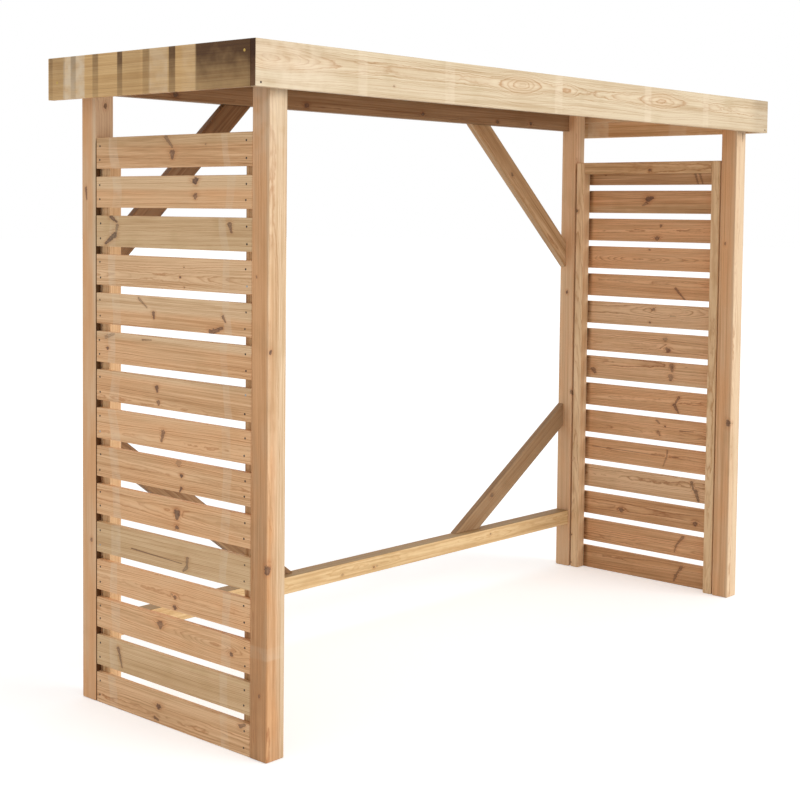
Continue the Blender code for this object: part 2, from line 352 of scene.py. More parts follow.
# Real sizes behind the pine pattern. The fibres are drawn about three times as coarse as real
# ones, which would not show.
RING_SPACING = 0.0034
HEARTWOOD_RADIUS = 0.057
POST_HEARTWOOD = 0.083
HEARTWOOD_FADE = 0.012
SLAT_HEARTWOOD = 0.095
KNOT_GRIT = 0.006
BRIGHTEST = 1.16
WARMTH = (0.75, 1.05, 1.45)
KNOT_STRETCH = 1.3
GRAIN_RELIEF = 0.0004
BLOTCH_SIZE = 0.14
LATH_UNEVEN = 0.30
LATH_PATCH = 0.045
PINE_NOISES = {
    "wander": (0.45, 0.10, 1.0),
    "ripple": (0.055, 0.016, 3.0),
    "fibre": (0.10, 0.0022, 3.0),
    "streak": (0.45, 0.006, 3.0),
    "band": (0.90, 0.020, 2.0),
    "patch": (0.25, 0.050, 2.0),
}
HEARTWOOD_CAST = (*linear("#FADABD"), 1.0)
SAPWOOD_CAST = (*linear("#E2DECE"), 1.0)
KNOT_HALO = (*linear("#D9A981"), 1.0)
END_GRAIN_CAST = (*linear("#B4937A"), 1.0)
LATH_STAIN_AND_SHADE = (*linear("#6C5A43"), 1.0)
LATH_BLEACH_AND_PAINTED_LIGHT = (*linear("#F2DFC3"), 1.0)
KNOT_TRACES = ("Push", "Swell", "Heart", "Rim", "Shade")

# A knot's traces fade between these distances from its line or its rim, in radii
KNOT_FADES = {"Heart": (0.35, 1.40), "Rim": (0.05, 0.50), "Shade": (0.5, 3.6)}
KNOT_RIM_PLACE = 0.80
KNOT_ROUGHNESS = 1.9
KNOT_NEARNESS = 0.55

# How much narrower a knot is at its far end, how strongly it turns the grain aside and swells
# the rings, and how strongly its rim and its halo show
KNOT_TAPER = 0.5
KNOT_PUSH = -0.75
KNOT_SWELL = 0.7
RIM_STRENGTH = 0.70
HALO_STRENGTH = 0.55

# How the rings and the heartwood stray from circles, in metres
RING_WANDER = 0.014
RING_RIPPLE = 0.0050
HEARTWOOD_WANDER = 0.012

# How far the rings' widths differ, in rings, and how quickly; how dark latewood is at
# each share of a ring; and the factor and start of what it takes from its year and its patch
RING_UNEVENNESS = 2.2
RING_NOISE_SCALE = 0.35
RING_PROFILE = ((0.0, 0.15), (1.0, 0.15), (0.30, 0.0), (0.60, 0.35), (0.84, 1.0))
LATEWOOD_BY_YEAR = (0.7, 0.3)
LATEWOOD_BY_PATCH = (1.2, 0.3)

# How much heartwood shows beyond its edge, and what sapwood is counted down from
HEART_IN_SAPWOOD = 0.1
SAPWOOD_START = 1.15

# How much each noise lightens and darkens the board, and what the tone starts from
NOISE_LIGHT = {"streak": 1.00, "fibre": 0.30, "patch": 0.50, "band": 0.66}
LIGHT_START = -0.20

# Detail strength of the pine's noises
NOISE_ROUGHNESS = 0.55

# Roughness of the planed face, and what fibre, latewood and end grain add to it
PLANED_ROUGHNESS = 0.54
FIBRE_ROUGHNESS = 0.16
LATEWOOD_ROUGHNESS = -0.08
END_ROUGHNESS = 0.15

# Ranges of a noise or a height, and what they are turned to
LATH_PATCHES = (0.36, 0.60, 0.40, 1.10)
STAIN_OVER_HEIGHT = (-0.05, 0.05, 0.55, 1.22)
STAIN_PATCHES = (0.3, 0.7, 0.85, 1.12)
PINK_PATCHES = (0.30, 0.65, 0.6, 1.15)
GREEN_BLOTCHES = (0.55, 0.72, 0.0, 0.30)
GREEN_STREAKS = (0.32, 0.60, 0.5, 1.0)
DARK_IN_KNOT = (-0.12, 0.14, 0.10, 0.90)
GREEN_IN_KNOT = (0.42, 0.62, 0.0, 0.7)

# How far a face is turned to a direction, from where it starts to count to where it does in full
UPWARD_FACES = (0.5, 0.9)
TURNED_AGAINST = (-0.9, -0.5)
END_GRAIN_FACES = (0.55, 0.85)

# How softly the strip of painted shade beside the slats ends at its sides and at the top
STRIP_SOFTNESS = 0.001
STRIP_FADE = 0.02

# What latewood adds to the fibres' relief, what a knot's rim takes from it, and its strength
LATEWOOD_RELIEF = 0.45
RIM_RELIEF = -0.8
BUMP_STRENGTH = 0.7


def knot_figure():
    """Node group that draws one knot or crack and adds it to the traces of those before it.

    A mark runs from its start along its reach, and tapers. Distance = how far the place is from
    that line, in radii. The grain is pushed sideways and the rings swell around the mark by
    exp(-(KNOT_NEARNESS * distance) squared).
    """
    traces = dict.fromkeys(KNOT_TRACES, "Float")
    inputs = {"Offset": "Vector", "Reach": "Vector", "Radius": "Float", "Dark": "Float"}
    tree, given, result = open_group("branch_knot", {**inputs, "Grit": "Float", **traces}, traces)
    node = functools.partial(add, tree)
    reach = given["Reach"]
    length = node("VectorMath DOT_PRODUCT", reach, reach, out=1)
    covered = node("VectorMath DOT_PRODUCT", given["Offset"], reach, out=1)
    share = node("Math DIVIDE", covered, node("Math MAXIMUM", length, 1e-9), use_clamp=True)
    foot = node("VectorMath SCALE", reach, None, None, share)
    gap = node("VectorMath SUBTRACT", given["Offset"], foot)
    taper = node("Math MULTIPLY_ADD", share, -KNOT_TAPER, 1.0)
    radius = node("Math MULTIPLY", given["Radius"], taper)
    rounded = node("VectorMath MULTIPLY", gap, (1.0 / KNOT_STRETCH, 1.0, 1.0))
    distance = node("VectorMath LENGTH", rounded, out=1)
    distance = node("Math DIVIDE", distance, radius)
    rough = node("Math MULTIPLY_ADD", given["Grit"], KNOT_ROUGHNESS, distance)
    near = node("Math POWER", node("Math MULTIPLY", distance, KNOT_NEARNESS), 2.0)
    near = node("Math EXPONENT", node("Math MULTIPLY", near, -1.0))
    across = node("SeparateXYZ", gap, out=1)
    push = node("Math MULTIPLY_ADD", across, near, given["Push"])
    swell = node("Math MULTIPLY_ADD", radius, near, given["Swell"])
    drawn = {"Push": push, "Swell": swell}
    from_rim = node("Math ABSOLUTE", node("Math SUBTRACT", rough, KNOT_RIM_PLACE))
    for (trace, fade), measure in zip(KNOT_FADES.items(), (rough, from_rim, distance)):
        level = node("MapRange", measure, *fade, given["Dark"], 0.0, **SMOOTH)
        drawn[trace] = node("Math MAXIMUM", level, given[trace])
    connect(tree, drawn, result)
    return tree


def pine_figure():
    """Node group that draws planed pine around a pith line.

    Place is along the grain, and then across and through the board from the pith. The growth
    rings are cylinders around the pith: ring number = distance from the pith / ring spacing,
    after slow wander, ripple, dips of the pith and the swerve around knots. Within a ring the
    colour darkens slowly to the latewood line and then falls back sharply, as real latewood
    does. Heartwood, close to the pith, is orange-pink, and the sapwood around it took up the
    greenish preservative.
    """
    palette = bpy.context.scene.shelter_colours
    floats = ("Grit", "End grain", "Dip", "Bleach and light", "Stain and shade", *KNOT_TRACES, "Figure", "Heartwood")
    inputs = {
        **dict.fromkeys(("Place", "Tone"), "Vector"),
        **dict.fromkeys(floats, "Float"),
        **dict.fromkeys(("Earlywood", "Latewood"), "Color"),
    }
    outputs = {"Colour": "Color", "Roughness": "Float", "Relief": "Float"}
    tree, given, result = open_group("pine_figure", inputs, outputs)
    node = functools.partial(add, tree)
    place = given["Place"]
    noise = {}
    for name, (length, width, detail) in PINE_NOISES.items():
        scaled = node("VectorMath MULTIPLY", place, (1.0 / length, 1.0 / width, 1.0 / width))
        noise[name] = node("TexNoise", scaled, None, 1.0, detail, NOISE_ROUGHNESS)

    # Growth rings
    _, across, through = node("SeparateXYZ", place).node.outputs
    across = node("Math MULTIPLY_ADD", given["Push"], KNOT_PUSH, across)
    through = node("Math MULTIPLY", through, node("Math SUBTRACT", 1.0, given["Dip"]))
    section = node("CombineXYZ", 0.0, across, through)
    distance = node("VectorMath LENGTH", section, out=1)
    distance = node("Math MULTIPLY_ADD", noise["wander"], RING_WANDER, distance)
    distance = node("Math MULTIPLY_ADD", noise["ripple"], RING_RIPPLE, distance)
    distance = node("Math MULTIPLY_ADD", given["Swell"], KNOT_SWELL, distance)
    rings = node("Math DIVIDE", distance, RING_SPACING)
    uneven = node("TexNoise", None, rings, RING_NOISE_SCALE, 1.0, noise_dimensions="1D")
    rings = node("Math MULTIPLY_ADD", uneven, RING_UNEVENNESS, rings)
    within = node("Math FRACT", rings)
    year = node("TexWhiteNoise", None, node("Math FLOOR", rings), noise_dimensions="1D")
    latewood = node("ValToRGB", within, stops=RING_PROFILE)
    by_year = node("Math MULTIPLY_ADD", year, *LATEWOOD_BY_YEAR)
    latewood = node("Math MULTIPLY", latewood, by_year)
    by_patch = node("Math MULTIPLY_ADD", noise["patch"], *LATEWOOD_BY_PATCH)
    latewood = node("Math MULTIPLY", latewood, by_patch)
    latewood = node("Math MULTIPLY", latewood, given["Figure"])

    # Heartwood and sapwood, and streaks that took more of the preservative
    blotch = node("TexNoise", place, None, 1.0 / BLOTCH_SIZE, 2.0)
    lighter, pinker, greener = node("SeparateXYZ", given["Tone"]).node.outputs
    edge = node("Math MULTIPLY_ADD", noise["band"], HEARTWOOD_WANDER, distance)
    edge = node("Math SUBTRACT", edge, given["Heartwood"])
    fade = (-HEARTWOOD_FADE, HEARTWOOD_FADE)
    heartwood = node("MapRange", edge, *fade, 1.0, HEART_IN_SAPWOOD, **SMOOTH)
    sapwood = node("Math SUBTRACT", SAPWOOD_START, heartwood)
    colour = node("Mix", latewood, *TO_COLOURS, given["Earlywood"], given["Latewood"], **COLOURS)
    pink = node("Math MULTIPLY", pinker, heartwood)
    pink = node("Math MULTIPLY", pink, node("MapRange", noise["patch"], *PINK_PATCHES))
    colour = node("Mix", pink, *TO_COLOURS, colour, HEARTWOOD_CAST, **TINTED)
    green = node("Math MULTIPLY", greener, sapwood)
    green = node("Math ADD", green, node("MapRange", blotch, *GREEN_BLOTCHES, **SMOOTH))
    green = node("Math MULTIPLY", green, node("MapRange", noise["streak"], *GREEN_STREAKS))
    colour = node("Mix", green, *TO_COLOURS, colour, SAPWOOD_CAST, **TINTED)
    light = node("Math ADD", lighter, LIGHT_START)
    for name, strength in NOISE_LIGHT.items():
        light = node("Math MULTIPLY_ADD", noise[name], strength, light)
    light = node("Math MINIMUM", light, BRIGHTEST)
    warmth = node("CombineXYZ", *(node("Math POWER", light, power) for power in WARMTH))
    colour = node("VectorMath MULTIPLY", colour, warmth)

    # Pale bands where the stacking laths lay, and painted light on the top of the front left post.
    # Dark bands of staining, darker towards that post's foot and on upward faces, and painted shade
    # beside the stiles and where slats end against a post
    colour = node("Mix", given["Bleach and light"], *TO_COLOURS, colour, LATH_BLEACH_AND_PAINTED_LIGHT, **COLOURS)
    colour = node("Mix", given["Stain and shade"], *TO_COLOURS, colour, LATH_STAIN_AND_SHADE, **TINTED)

    # Knots: a warm halo, a heart that is lighter inside, and a dark rim
    shade = node("Math MULTIPLY", given["Shade"], HALO_STRENGTH)
    colour = node("Mix", shade, *TO_COLOURS, colour, KNOT_HALO, **TINTED)
    knot_wood, knot_rim = (*palette.knot_wood, 1.0), (*palette.knot_rim, 1.0)
    inside = node("MapRange", given["Grit"], *DARK_IN_KNOT, **SMOOTH)
    inside = node("Mix", inside, *TO_COLOURS, knot_wood, knot_rim, **COLOURS)
    stained = node("Math MULTIPLY", greener, node("MapRange", noise["patch"], *GREEN_IN_KNOT))
    inside = node("Mix", stained, *TO_COLOURS, inside, (*palette.knot_stain, 1.0), **COLOURS)
    colour = node("Mix", given["Heart"], *TO_COLOURS, colour, inside, **COLOURS)
    rim = node("Math MULTIPLY", given["Rim"], RIM_STRENGTH)
    colour = node("Mix", rim, *TO_COLOURS, colour, knot_rim, **COLOURS)

    # End grain drinks more of the treatment, so it is darker
    end = given["End grain"]
    colour = node("Mix", end, *TO_COLOURS, colour, END_GRAIN_CAST, **TINTED)
    roughness = node("Math MULTIPLY_ADD", noise["fibre"], FIBRE_ROUGHNESS, PLANED_ROUGHNESS)
    roughness = node("Math MULTIPLY_ADD", latewood, LATEWOOD_ROUGHNESS, roughness)
    roughness = node("Math MULTIPLY_ADD", end, END_ROUGHNESS, roughness)
    relief = node("Math MULTIPLY_ADD", latewood, LATEWOOD_RELIEF, noise["fibre"])
    relief = node("Math MULTIPLY_ADD", rim, RIM_RELIEF, relief)
    connect(tree, {"Colour": colour, "Roughness": roughness, "Relief": relief}, result)
    return tree


def band_strength(tree, along, bands):
    """Strongest of some bands across a board: full inside the half width, then fading softly."""
    strongest = 0.0
    for middle, half_width, softness, strength in bands:
        offset = add(tree, "Math SUBTRACT", along, middle)
        offset = add(tree, "Math ABSOLUTE", offset)
        edges = (half_width, half_width + softness, strength, 0.0)
        level = add(tree, "MapRange", offset, *edges, **SMOOTH)
        strongest = add(tree, "Math MAXIMUM", level, strongest)
    return strongest


def ring_dip(tree, along, eyes):
    """How far the rings dip towards the pith: depth * exp(-(offset / half length) squared)."""
    total = 0.0
    for middle, half_length, depth in eyes:
        offset = add(tree, "Math SUBTRACT", along, middle)
        offset = add(tree, "Math DIVIDE", offset, half_length)
        offset = add(tree, "Math POWER", add(tree, "Math ABSOLUTE", offset), 2.0)
        level = add(tree, "Math EXPONENT", add(tree, "Math MULTIPLY", offset, -1.0))
        total = add(tree, "Math MULTIPLY_ADD", level, depth, total)
    return total


def new_material(name):
    """A material whose Principled BSDF is returned with its node tree."""
    material = bpy.data.materials.new(name)
    material.use_nodes = True
    tree = material.node_tree
    return material, tree, tree.nodes["Principled BSDF"]


def turned_against(tree, axis):
    """One on faces turned against an axis of the shelter, and nothing on the others."""
    level = add(tree, "SeparateXYZ", add(tree, "NewGeometry", out=1), out=axis)
    return add(tree, "MapRange", level, *TURNED_AGAINST, 1.0, 0.0)


def painted_slot_shade(tree, middle, half_width, top):
    """Painted shade: a dark strip on the front face of a post, where slats end against it, up to their
    top.
    """
    x, _, z = add(tree, "SeparateXYZ", add(tree, "TexCoord", out=3)).node.outputs
    strip = band_strength(tree, x, ((middle, half_width, STRIP_SOFTNESS, 1.0),))
    below = add(tree, "MapRange", z, top - STRIP_FADE, top, 1.0, 0.0)
    facing = turned_against(tree, 1)
    return add(tree, "Math MULTIPLY", add(tree, "Math MULTIPLY", strip, facing), below)


def finish_pine(
    name,
    colours,
    grain,
    figure=0.9,
    bleach=(),
    stain=(),
    painted_shade_inside=False,
    drift=0.0,
    top=0.0,
    heartwood=HEARTWOOD_RADIUS,
    strip=None,
):
    """Planed, pressure-treated pine: matt, with soft latewood lines, knots and a dry fibre sheen.

    grain adds the nodes that say where the grain runs, and lists the marks; figure is how
    strongly the latewood shows; bleach and stain are bands across the board, and drift is how
    far the pale ones stray from board to board. The pale bands also paint light on the top of the
    front left post, and the dark ones paint shade beside the stiles on the right panel's slats; the
    flag after stain keeps those to the inner faces. top is how much darker its upward faces are,
    and strip is the place, half width and top of a strip of painted shade where slats end.
    """
    material, tree, shader = new_material(name)
    sources, marks = grain(tree)
    place = sources["Place"]
    along = add(tree, "SeparateXYZ", sources.pop("Board"))
    uneven = add(tree, "TexNoise", place, None, 1.0 / LATH_UNEVEN, 1.0)
    strayed = add(tree, "Math MULTIPLY_ADD", uneven, drift, -drift / 2)
    strayed = add(tree, "Math ADD", along, strayed)
    patch = add(tree, "TexNoise", place, None, 1.0 / LATH_PATCH, 2.0)
    strength = add(tree, "MapRange", patch, *LATH_PATCHES)
    height = add(tree, "MapRange", along.node.outputs[1], *STAIN_OVER_HEIGHT)
    height = add(tree, "Math MULTIPLY", height, add(tree, "MapRange", patch, *STAIN_PATCHES))
    # Upward faces are made darker by the amount top
    upward_darkening = add(tree, "SeparateXYZ", add(tree, "NewGeometry", out=1), out=2)
    upward_darkening = add(tree, "MapRange", upward_darkening, *UPWARD_FACES, 0.0, top)
    stains_and_painted_shade = add(tree, "Math MULTIPLY", band_strength(tree, along, stain), height, use_clamp=True)
    # Painted shade: the right slats' dark bands beside the stiles, on their inner faces only
    if painted_shade_inside:
        stains_and_painted_shade = add(tree, "Math MULTIPLY", stains_and_painted_shade, turned_against(tree, 0))
    # Painted shade where the slats end against a post
    if strip:
        stains_and_painted_shade = add(tree, "Math MAXIMUM", stains_and_painted_shade, painted_slot_shade(tree, *strip))
    palette = bpy.context.scene.shelter_colours
    grit = add(tree, "TexNoise", place, None, 1.0 / KNOT_GRIT, 2.0)
    grit = add(tree, "Math SUBTRACT", grit, 0.5)
    traces = dict.fromkeys(KNOT_TRACES, 0.0)
    for mark in marks:
        knot = tree.nodes.new("ShaderNodeGroup")
        knot.node_tree = bpy.data.node_groups.get("branch_knot") or knot_figure()
        connect(tree, {**mark, "Grit": grit, **traces}, knot.inputs)
        traces = {trace: knot.outputs[trace] for trace in KNOT_TRACES}
    wood = tree.nodes.new("ShaderNodeGroup")
    wood.node_tree = bpy.data.node_groups.get("pine_figure") or pine_figure()
    values = {
        **sources,
        **traces,
        "Grit": grit,
        "Bleach and light": add(tree, "Math MULTIPLY", band_strength(tree, strayed, bleach), strength),
        "Stain and shade": add(tree, "Math MAXIMUM", stains_and_painted_shade, upward_darkening),
        "Earlywood": (*getattr(palette, colours + "_wood"), 1.0),
        "Latewood": (*getattr(palette, colours + "_grain"), 1.0),
        "Figure": figure,
        "Heartwood": heartwood,
    }
    connect(tree, values, wood.inputs)
    relief = add(tree, "Bump", BUMP_STRENGTH, GRAIN_RELIEF, None, wood.outputs["Relief"])
    looks = {
        "Base Color": wood.outputs["Colour"],
        "Roughness": wood.outputs["Roughness"],
        "Normal": relief,
        "IOR": 1.5,
        "Specular IOR Level": 0.3,
    }
    connect(tree, looks, shader.inputs)
    return material


def grain_from_attributes(tree):
    """The grain of boards made here: each board carries its own frame and marks in attributes."""
    read = {"Board": "board", "Place": "grain_place", "Tone": "tone"}
    sources = {
        socket: add(tree, "Attribute", out=1, attribute_name=name) for socket, name in read.items()
    }
    sources["End grain"] = add(tree, "Attribute", out=2, attribute_name="end_grain")
    sources["Dip"] = add(tree, "Attribute", out=2, attribute_name="dip")
    marks = []
    for number in range(KNOTS_PER_BOARD):
        knot = add(tree, "Attribute", out=1, attribute_name=f"knot_{number}")
        reach = add(tree, "Attribute", out=1, attribute_name=f"reach_{number}")
        along, across, radius = add(tree, "SeparateXYZ", knot).node.outputs
        reach_along, reach_across, dark = add(tree, "SeparateXYZ", reach).node.outputs
        offset = add(tree, "CombineXYZ", along, across)
        reach = add(tree, "CombineXYZ", reach_along, reach_across)
        marks.append({"Offset": offset, "Reach": reach, "Radius": radius, "Dark": dark})
    return sources, marks


def grain_in_solid(node, along, across, pith, marks, tone, seed, eyes=(), slope=0.0):
    """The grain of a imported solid, worked out from its middle and its two directions.

    pith is how far the heart of the tree lies across and through the board from its middle, and
    slope is how fast it strays across the board.
    """
    low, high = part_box(node)
    middle = (low + high) / 2
    turn = Matrix((along, across, along.cross(across)))

    def lay(tree):
        place = add(tree, "TexCoord", out=3)
        board = add(tree, "Mapping", place, -(turn @ middle), turn.to_euler())
        stray = add(tree, "Math MULTIPLY", add(tree, "SeparateXYZ", board), -slope)
        stray = add(tree, "VectorMath ADD", board, add(tree, "CombineXYZ", 0.0, stray))
        shift = (seed * BOARD_SEED_STEP, -pith[0] / 1000, -pith[1] / 1000)
        normal = add(tree, "NewGeometry", out=1)
        facing = add(tree, "VectorMath DOT_PRODUCT", normal, tuple(along), out=1)
        facing = add(tree, "Math ABSOLUTE", facing)
        knots = []
        for *ends, radius, dark in metres(marks):
            start = turn @ (Vector(ends[:3]) - middle)
            reach = tuple(turn @ Vector(ends[3:]))
            offset = add(tree, "VectorMath SUBTRACT", board, tuple(start))
            knots.append({"Offset": offset, "Reach": reach, "Radius": radius, "Dark": dark})
        sources = {
            "Board": board,
            "Place": add(tree, "VectorMath ADD", stray, shift),
            "Tone": TONES[tone],
            "Dip": ring_dip(tree, add(tree, "SeparateXYZ", board), metres(eyes)),
            "End grain": add(tree, "MapRange", facing, *END_GRAIN_FACES, **SMOOTH),
        }
        return sources, knots

    return lay


def dress_node(node, material):
    """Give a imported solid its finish, in every material slot."""
    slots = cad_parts[node].material_slots
    if not slots:
        raise RuntimeError(node + " has no material slot")
    for slot in slots:
        slot.material = material


def finish_solids(solids, first_seed, across=None, **looks):
    """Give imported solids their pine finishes.

    Each has its node, colours, grain direction, pith, tone and marks, and then what else its
    grain and its finish take. Without a direction across, boards lie flat against Y.
    """
    for seed, (node, colours, along, pith, tone, marks, own) in enumerate(solids, first_seed):
        own = {**looks, **own}
        extra = {name: own.pop(name) for name in ("eyes", "slope") if name in own}
        side = along.cross(Y_AXIS) if across is None else across
        grain = grain_in_solid(node, along, side, pith, marks, tone, seed, **extra)
        dress_node(node, finish_pine("planed_pine_" + node, colours, grain, **own))


# Surfaces

def make_piece(name, points, faces, material, attributes=(), stands_for=()):
    """Put points and faces into a mesh object at the origin that rides on the shelter."""
    mesh = bpy.data.meshes.new(name)
    mesh.from_pydata(points.tolist(), [], [row for block in faces for row in block.tolist()])
    for label, kind, domain, values in attributes:
        layer = mesh.attributes.new(label, kind, domain)
        field = "value" if kind == "FLOAT" else "vector"
        layer.data.foreach_set(field, np.asarray(values, np.float32).ravel())
    mesh.materials.append(material)
    mesh.update()
    piece = bpy.data.objects.new(name, mesh)
    bpy.context.scene.collection.objects.link(piece)
    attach(piece, "root")
    if stands_for:
        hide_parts(*stands_for)
    return piece


def rounded_section(width, thickness, arris, cells=FACE_CELLS):
    """Section of a planed board as points across and through, anticlockwise seen from its far end.

    Quarter circles of radius arris at the four corners, joined by straight sides; the two wide
    sides are split into cells.
    """
    quarter = np.linspace(0.0, np.pi / 2, ARRIS_STEPS + 1)
    reach = np.array((width / 2 - arris, thickness / 2 - arris))
    corners = []
    for number, sign in enumerate(((1, 1), (-1, 1), (-1, -1), (1, -1))):
        angle = quarter + number * np.pi / 2
        arc = arris * np.stack((np.cos(angle), np.sin(angle)), axis=1)
        corners.append(reach * sign + arc)
    across = np.linspace(reach[0], -reach[0], cells + 1)[1:-1]
    upper = np.stack((across, np.full_like(across, thickness / 2)), axis=1)
    return np.concatenate((corners[0], upper, corners[1], corners[2], -upper, corners[3]))


def board_surface(size, arris, cells, cup=0.0, bow=0.0):
    """Points of one board in its own frame, and its quads and end faces.

    The rounded section is carried along the grain and tucked in by the arris at both ends. Cup
    lifts the board's edges by cup * (2 * across / width) squared, and bow lifts its middle by
    bow * cos(pi * along / length).
    """
    length, width, thickness = size
    inner = np.linspace(arris - length / 2, length / 2 - arris, cells + 1)
    stations = np.concatenate(([-length / 2], inner, [length / 2]))
    full = rounded_section(width, thickness, arris)
    tucked = rounded_section(width - 2 * arris, thickness - 2 * arris, arris / 2)
    section = np.repeat(full[None], len(stations), axis=0)
    section[[0, -1]] = tucked
    along = np.broadcast_to(stations[:, None], section.shape[:2])
    across, through = section[..., 0], section[..., 1]
    lift = cup * (2 * across / width) ** 2 + bow * np.cos(np.pi * along / length)
    points = np.stack((along, across, through + lift), axis=-1)
    count, ring = section.shape[:2]
    index = np.arange(count * ring).reshape(count, ring)
    ahead = np.roll(index, -1, axis=1)
    quads = np.stack((index[:-1], ahead[:-1], ahead[1:], index[1:]), axis=-1).reshape(-1, 4)
    ends = np.stack((index[0, ::-1], index[-1]))
    return points.reshape(-1, 3), quads, ends


def figure_layers(flat, board, shift, slope):
    """What a board's points carry for its pine figure, by attribute name.

    The ring dip is the sum of depth * exp(-((along - place) / half length) squared). A mark is
    carried as the offset from its start with its radius, and its reach with its darkness.
    """
    along = flat[:, 0]
    grain = flat - np.array(shift)
    grain[:, 1:] += flat[:, :1] * slope
    dips = [depth * np.exp(-(((along - at) / half) ** 2)) for at, half, depth in board["eyes"]]
    layers = {
        "board": flat,
        "grain_place": grain,
        "tone": np.tile(TONES[board["tone"]], (len(flat), 1)),
        "dip": np.sum(dips, axis=0) if dips else np.zeros(len(flat)),
    }
    marks = (*board["marks"], *(NO_KNOT,) * KNOTS_PER_BOARD)[:KNOTS_PER_BOARD]
    for number, (at, height, far, far_height, radius, dark) in enumerate(marks):
        offset = flat - np.array((at, height, 0.0))
        offset[:, 2] = radius
        reach = (far - at, far_height - height, dark)
        layers[f"knot_{number}"] = offset
        layers[f"reach_{number}"] = np.tile(reach, (len(flat), 1))
    return layers


def join_boards(name, boards, material, slot, stands_for, arris, cells):
    """Several boards as one piece. Each board keeps its own pith, tone, marks and slight warp."""
    seed = SEEDS[name]
    draw = np.random.default_rng(seed)
    points, quads, ends, layers = [], [], [], {}
    start = 0
    for number, board in enumerate(boards):
        board = {"eyes": (), "marks": (), "warp": BOARD_WARP, **board}
        along, across = board["along"], board["across"]
        turn = np.array((along, across, along.cross(across)))
        cup, bow = draw.normal(0.0, board["warp"], 2)
        flat, own_quads, own_ends = board_surface(board["size"], arris, cells, cup, bow)
        pith = (draw.uniform(-PITH_OFFSET, PITH_OFFSET), draw.uniform(*PITH_DEPTH))
        slope = draw.normal(0.0, GRAIN_SLOPE, 2)
        shift = (-(seed + number) * BOARD_SEED_STEP, *board.get("pith", pith))
        points.append(flat @ turn + np.array(board["middle"]))
        for label, values in figure_layers(flat, board, shift, slope).items():
            layers.setdefault(label, []).append(values)
        quads.append(own_quads + start)
        ends.append(own_ends + start)
        start += len(flat)
    quads, ends = np.concatenate(quads), np.concatenate(ends)
    attributes = []
    for label, values in layers.items():
        values = np.concatenate(values)
        kind = "FLOAT" if values.ndim == 1 else "FLOAT_VECTOR"
        attributes.append((label, kind, "POINT", values))
    end_grain = np.concatenate((np.zeros(len(quads)), np.ones(len(ends))))
    attributes.append(("end_grain", "FLOAT", "FACE", end_grain))
    points = np.concatenate(points)
    return make_piece(name, points, (quads, ends), material, attributes, stands_for)


def turned(profile, steps, places, axes):
    """Round pieces turned from one profile of radius and height, put at places along axes.

    Point = place + radius * (cos, sin) in the plane across the axis + height * axis. The first
    and last profile points lie on the axis, so that both poles are closed.
    """
    radius, height = np.array(profile[1:-1]).T
    angle = np.arange(steps) * 2 * np.pi / steps
    ring = radius[:, None, None] * np.stack((np.cos(angle), np.sin(angle)), axis=-1)
    body = np.concatenate((ring, np.broadcast_to(height[:, None, None], (*ring.shape[:2], 1))), -1)
    poles = np.array(((0.0, 0.0, profile[0][1]), (0.0, 0.0, profile[-1][1])))
    flat = np.concatenate((body.reshape(-1, 3), poles))
    axes = np.asarray(axes, float)
    guide = np.where(np.abs(axes[:, 2:]) > NEARLY_UPRIGHT, tuple(X_AXIS), tuple(Z_AXIS))
    first = np.cross(guide, axes)
    frames = np.stack((first, np.cross(axes, first), axes), axis=1)
    points = np.einsum("pk,nkj->npj", flat, frames) + np.asarray(places)[:, None, :]
    rows = len(radius)
    index = np.arange(rows * steps).reshape(rows, steps)
    ahead = np.roll(index, -1, axis=1)
    quads = np.stack((index[:-1], index[1:], ahead[1:], ahead[:-1]), axis=-1).reshape(-1, 4)
    top = np.stack((np.full(steps, rows * steps), index[0], ahead[0]), axis=-1)
    foot = np.stack((np.full(steps, rows * steps + 1), ahead[-1], index[-1]), axis=-1)
    shifts = np.arange(len(axes))[:, None, None] * len(flat)
    triangles = np.concatenate((top, foot))
    blocks = [(block[None] + shifts).reshape(-1, block.shape[1]) for block in (quads, triangles)]
    return points.reshape(-1, 3), blocks


def head_profile(diameter, crown, depth):
    """A slightly domed head whose rim is flush, with a shank that ends inside the timber."""
    radius = diameter / 2
    dome = [(radius * share, crown * (1 - share**2)) for share in DOME_STEPS]
    return (*dome, (radius, -depth), (0.0, -depth))


def drive_heads(name, profile, steps, places, axes, material):
    """Nail or screw heads as one piece, each with its own brightness in an attribute."""
    points, blocks = turned(profile, steps, places, axes)
    bright = np.random.default_rng(SEEDS[name]).uniform(0.0, 1.0, len(places))
    bright = np.repeat(bright, len(points) // len(places))
    return make_piece(name, points, blocks, material, (("bright", "FLOAT", "POINT", bright),))


# Panels

SLAT_WIDTH = 0.097
SLAT_THICKNESS = 0.018
STILE_WIDTH = 0.040
STILE_DEPTH = 0.045
STILE_INSET = 0.007
PANEL_RAIL_HEIGHT = 0.050
NAIL_HEIGHTS = (0.024, -0.024)
NAIL_SHIFTS = {-1: 0.0, 1: 0.007}
NAIL_SCATTER = 0.0022
STILE_MARKS = (
    (690, 16, 693, 18, 6, 80), (-757, 15.5, -758, 15.5, 3, 80), (-882, 15.5, -883, 15.5, 3, 80),
)

# Rear stile, front stile and top rail of each panel: tone, the pith's place, and marks
STILES = {
    "left": (("olive", (0, -50), ()), ("dark", (10, -50), ()), ("tan", (0, 50), ())),
    "right": (
        ("pale", (10, -60), STILE_MARKS),
        ("ash", (0, -50), ()),
        ("taupe", (0, 50), ((-20, -10, -20, -10, 5, 70),)),
    ),
}


def panel_frame(node):
    """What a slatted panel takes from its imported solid: side, outer face, reach and top."""
    low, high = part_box(node)
    side = 1 if high.x > 0 else -1
    outer = high.x if side > 0 else low.x
    return side, outer, high.y, high.z


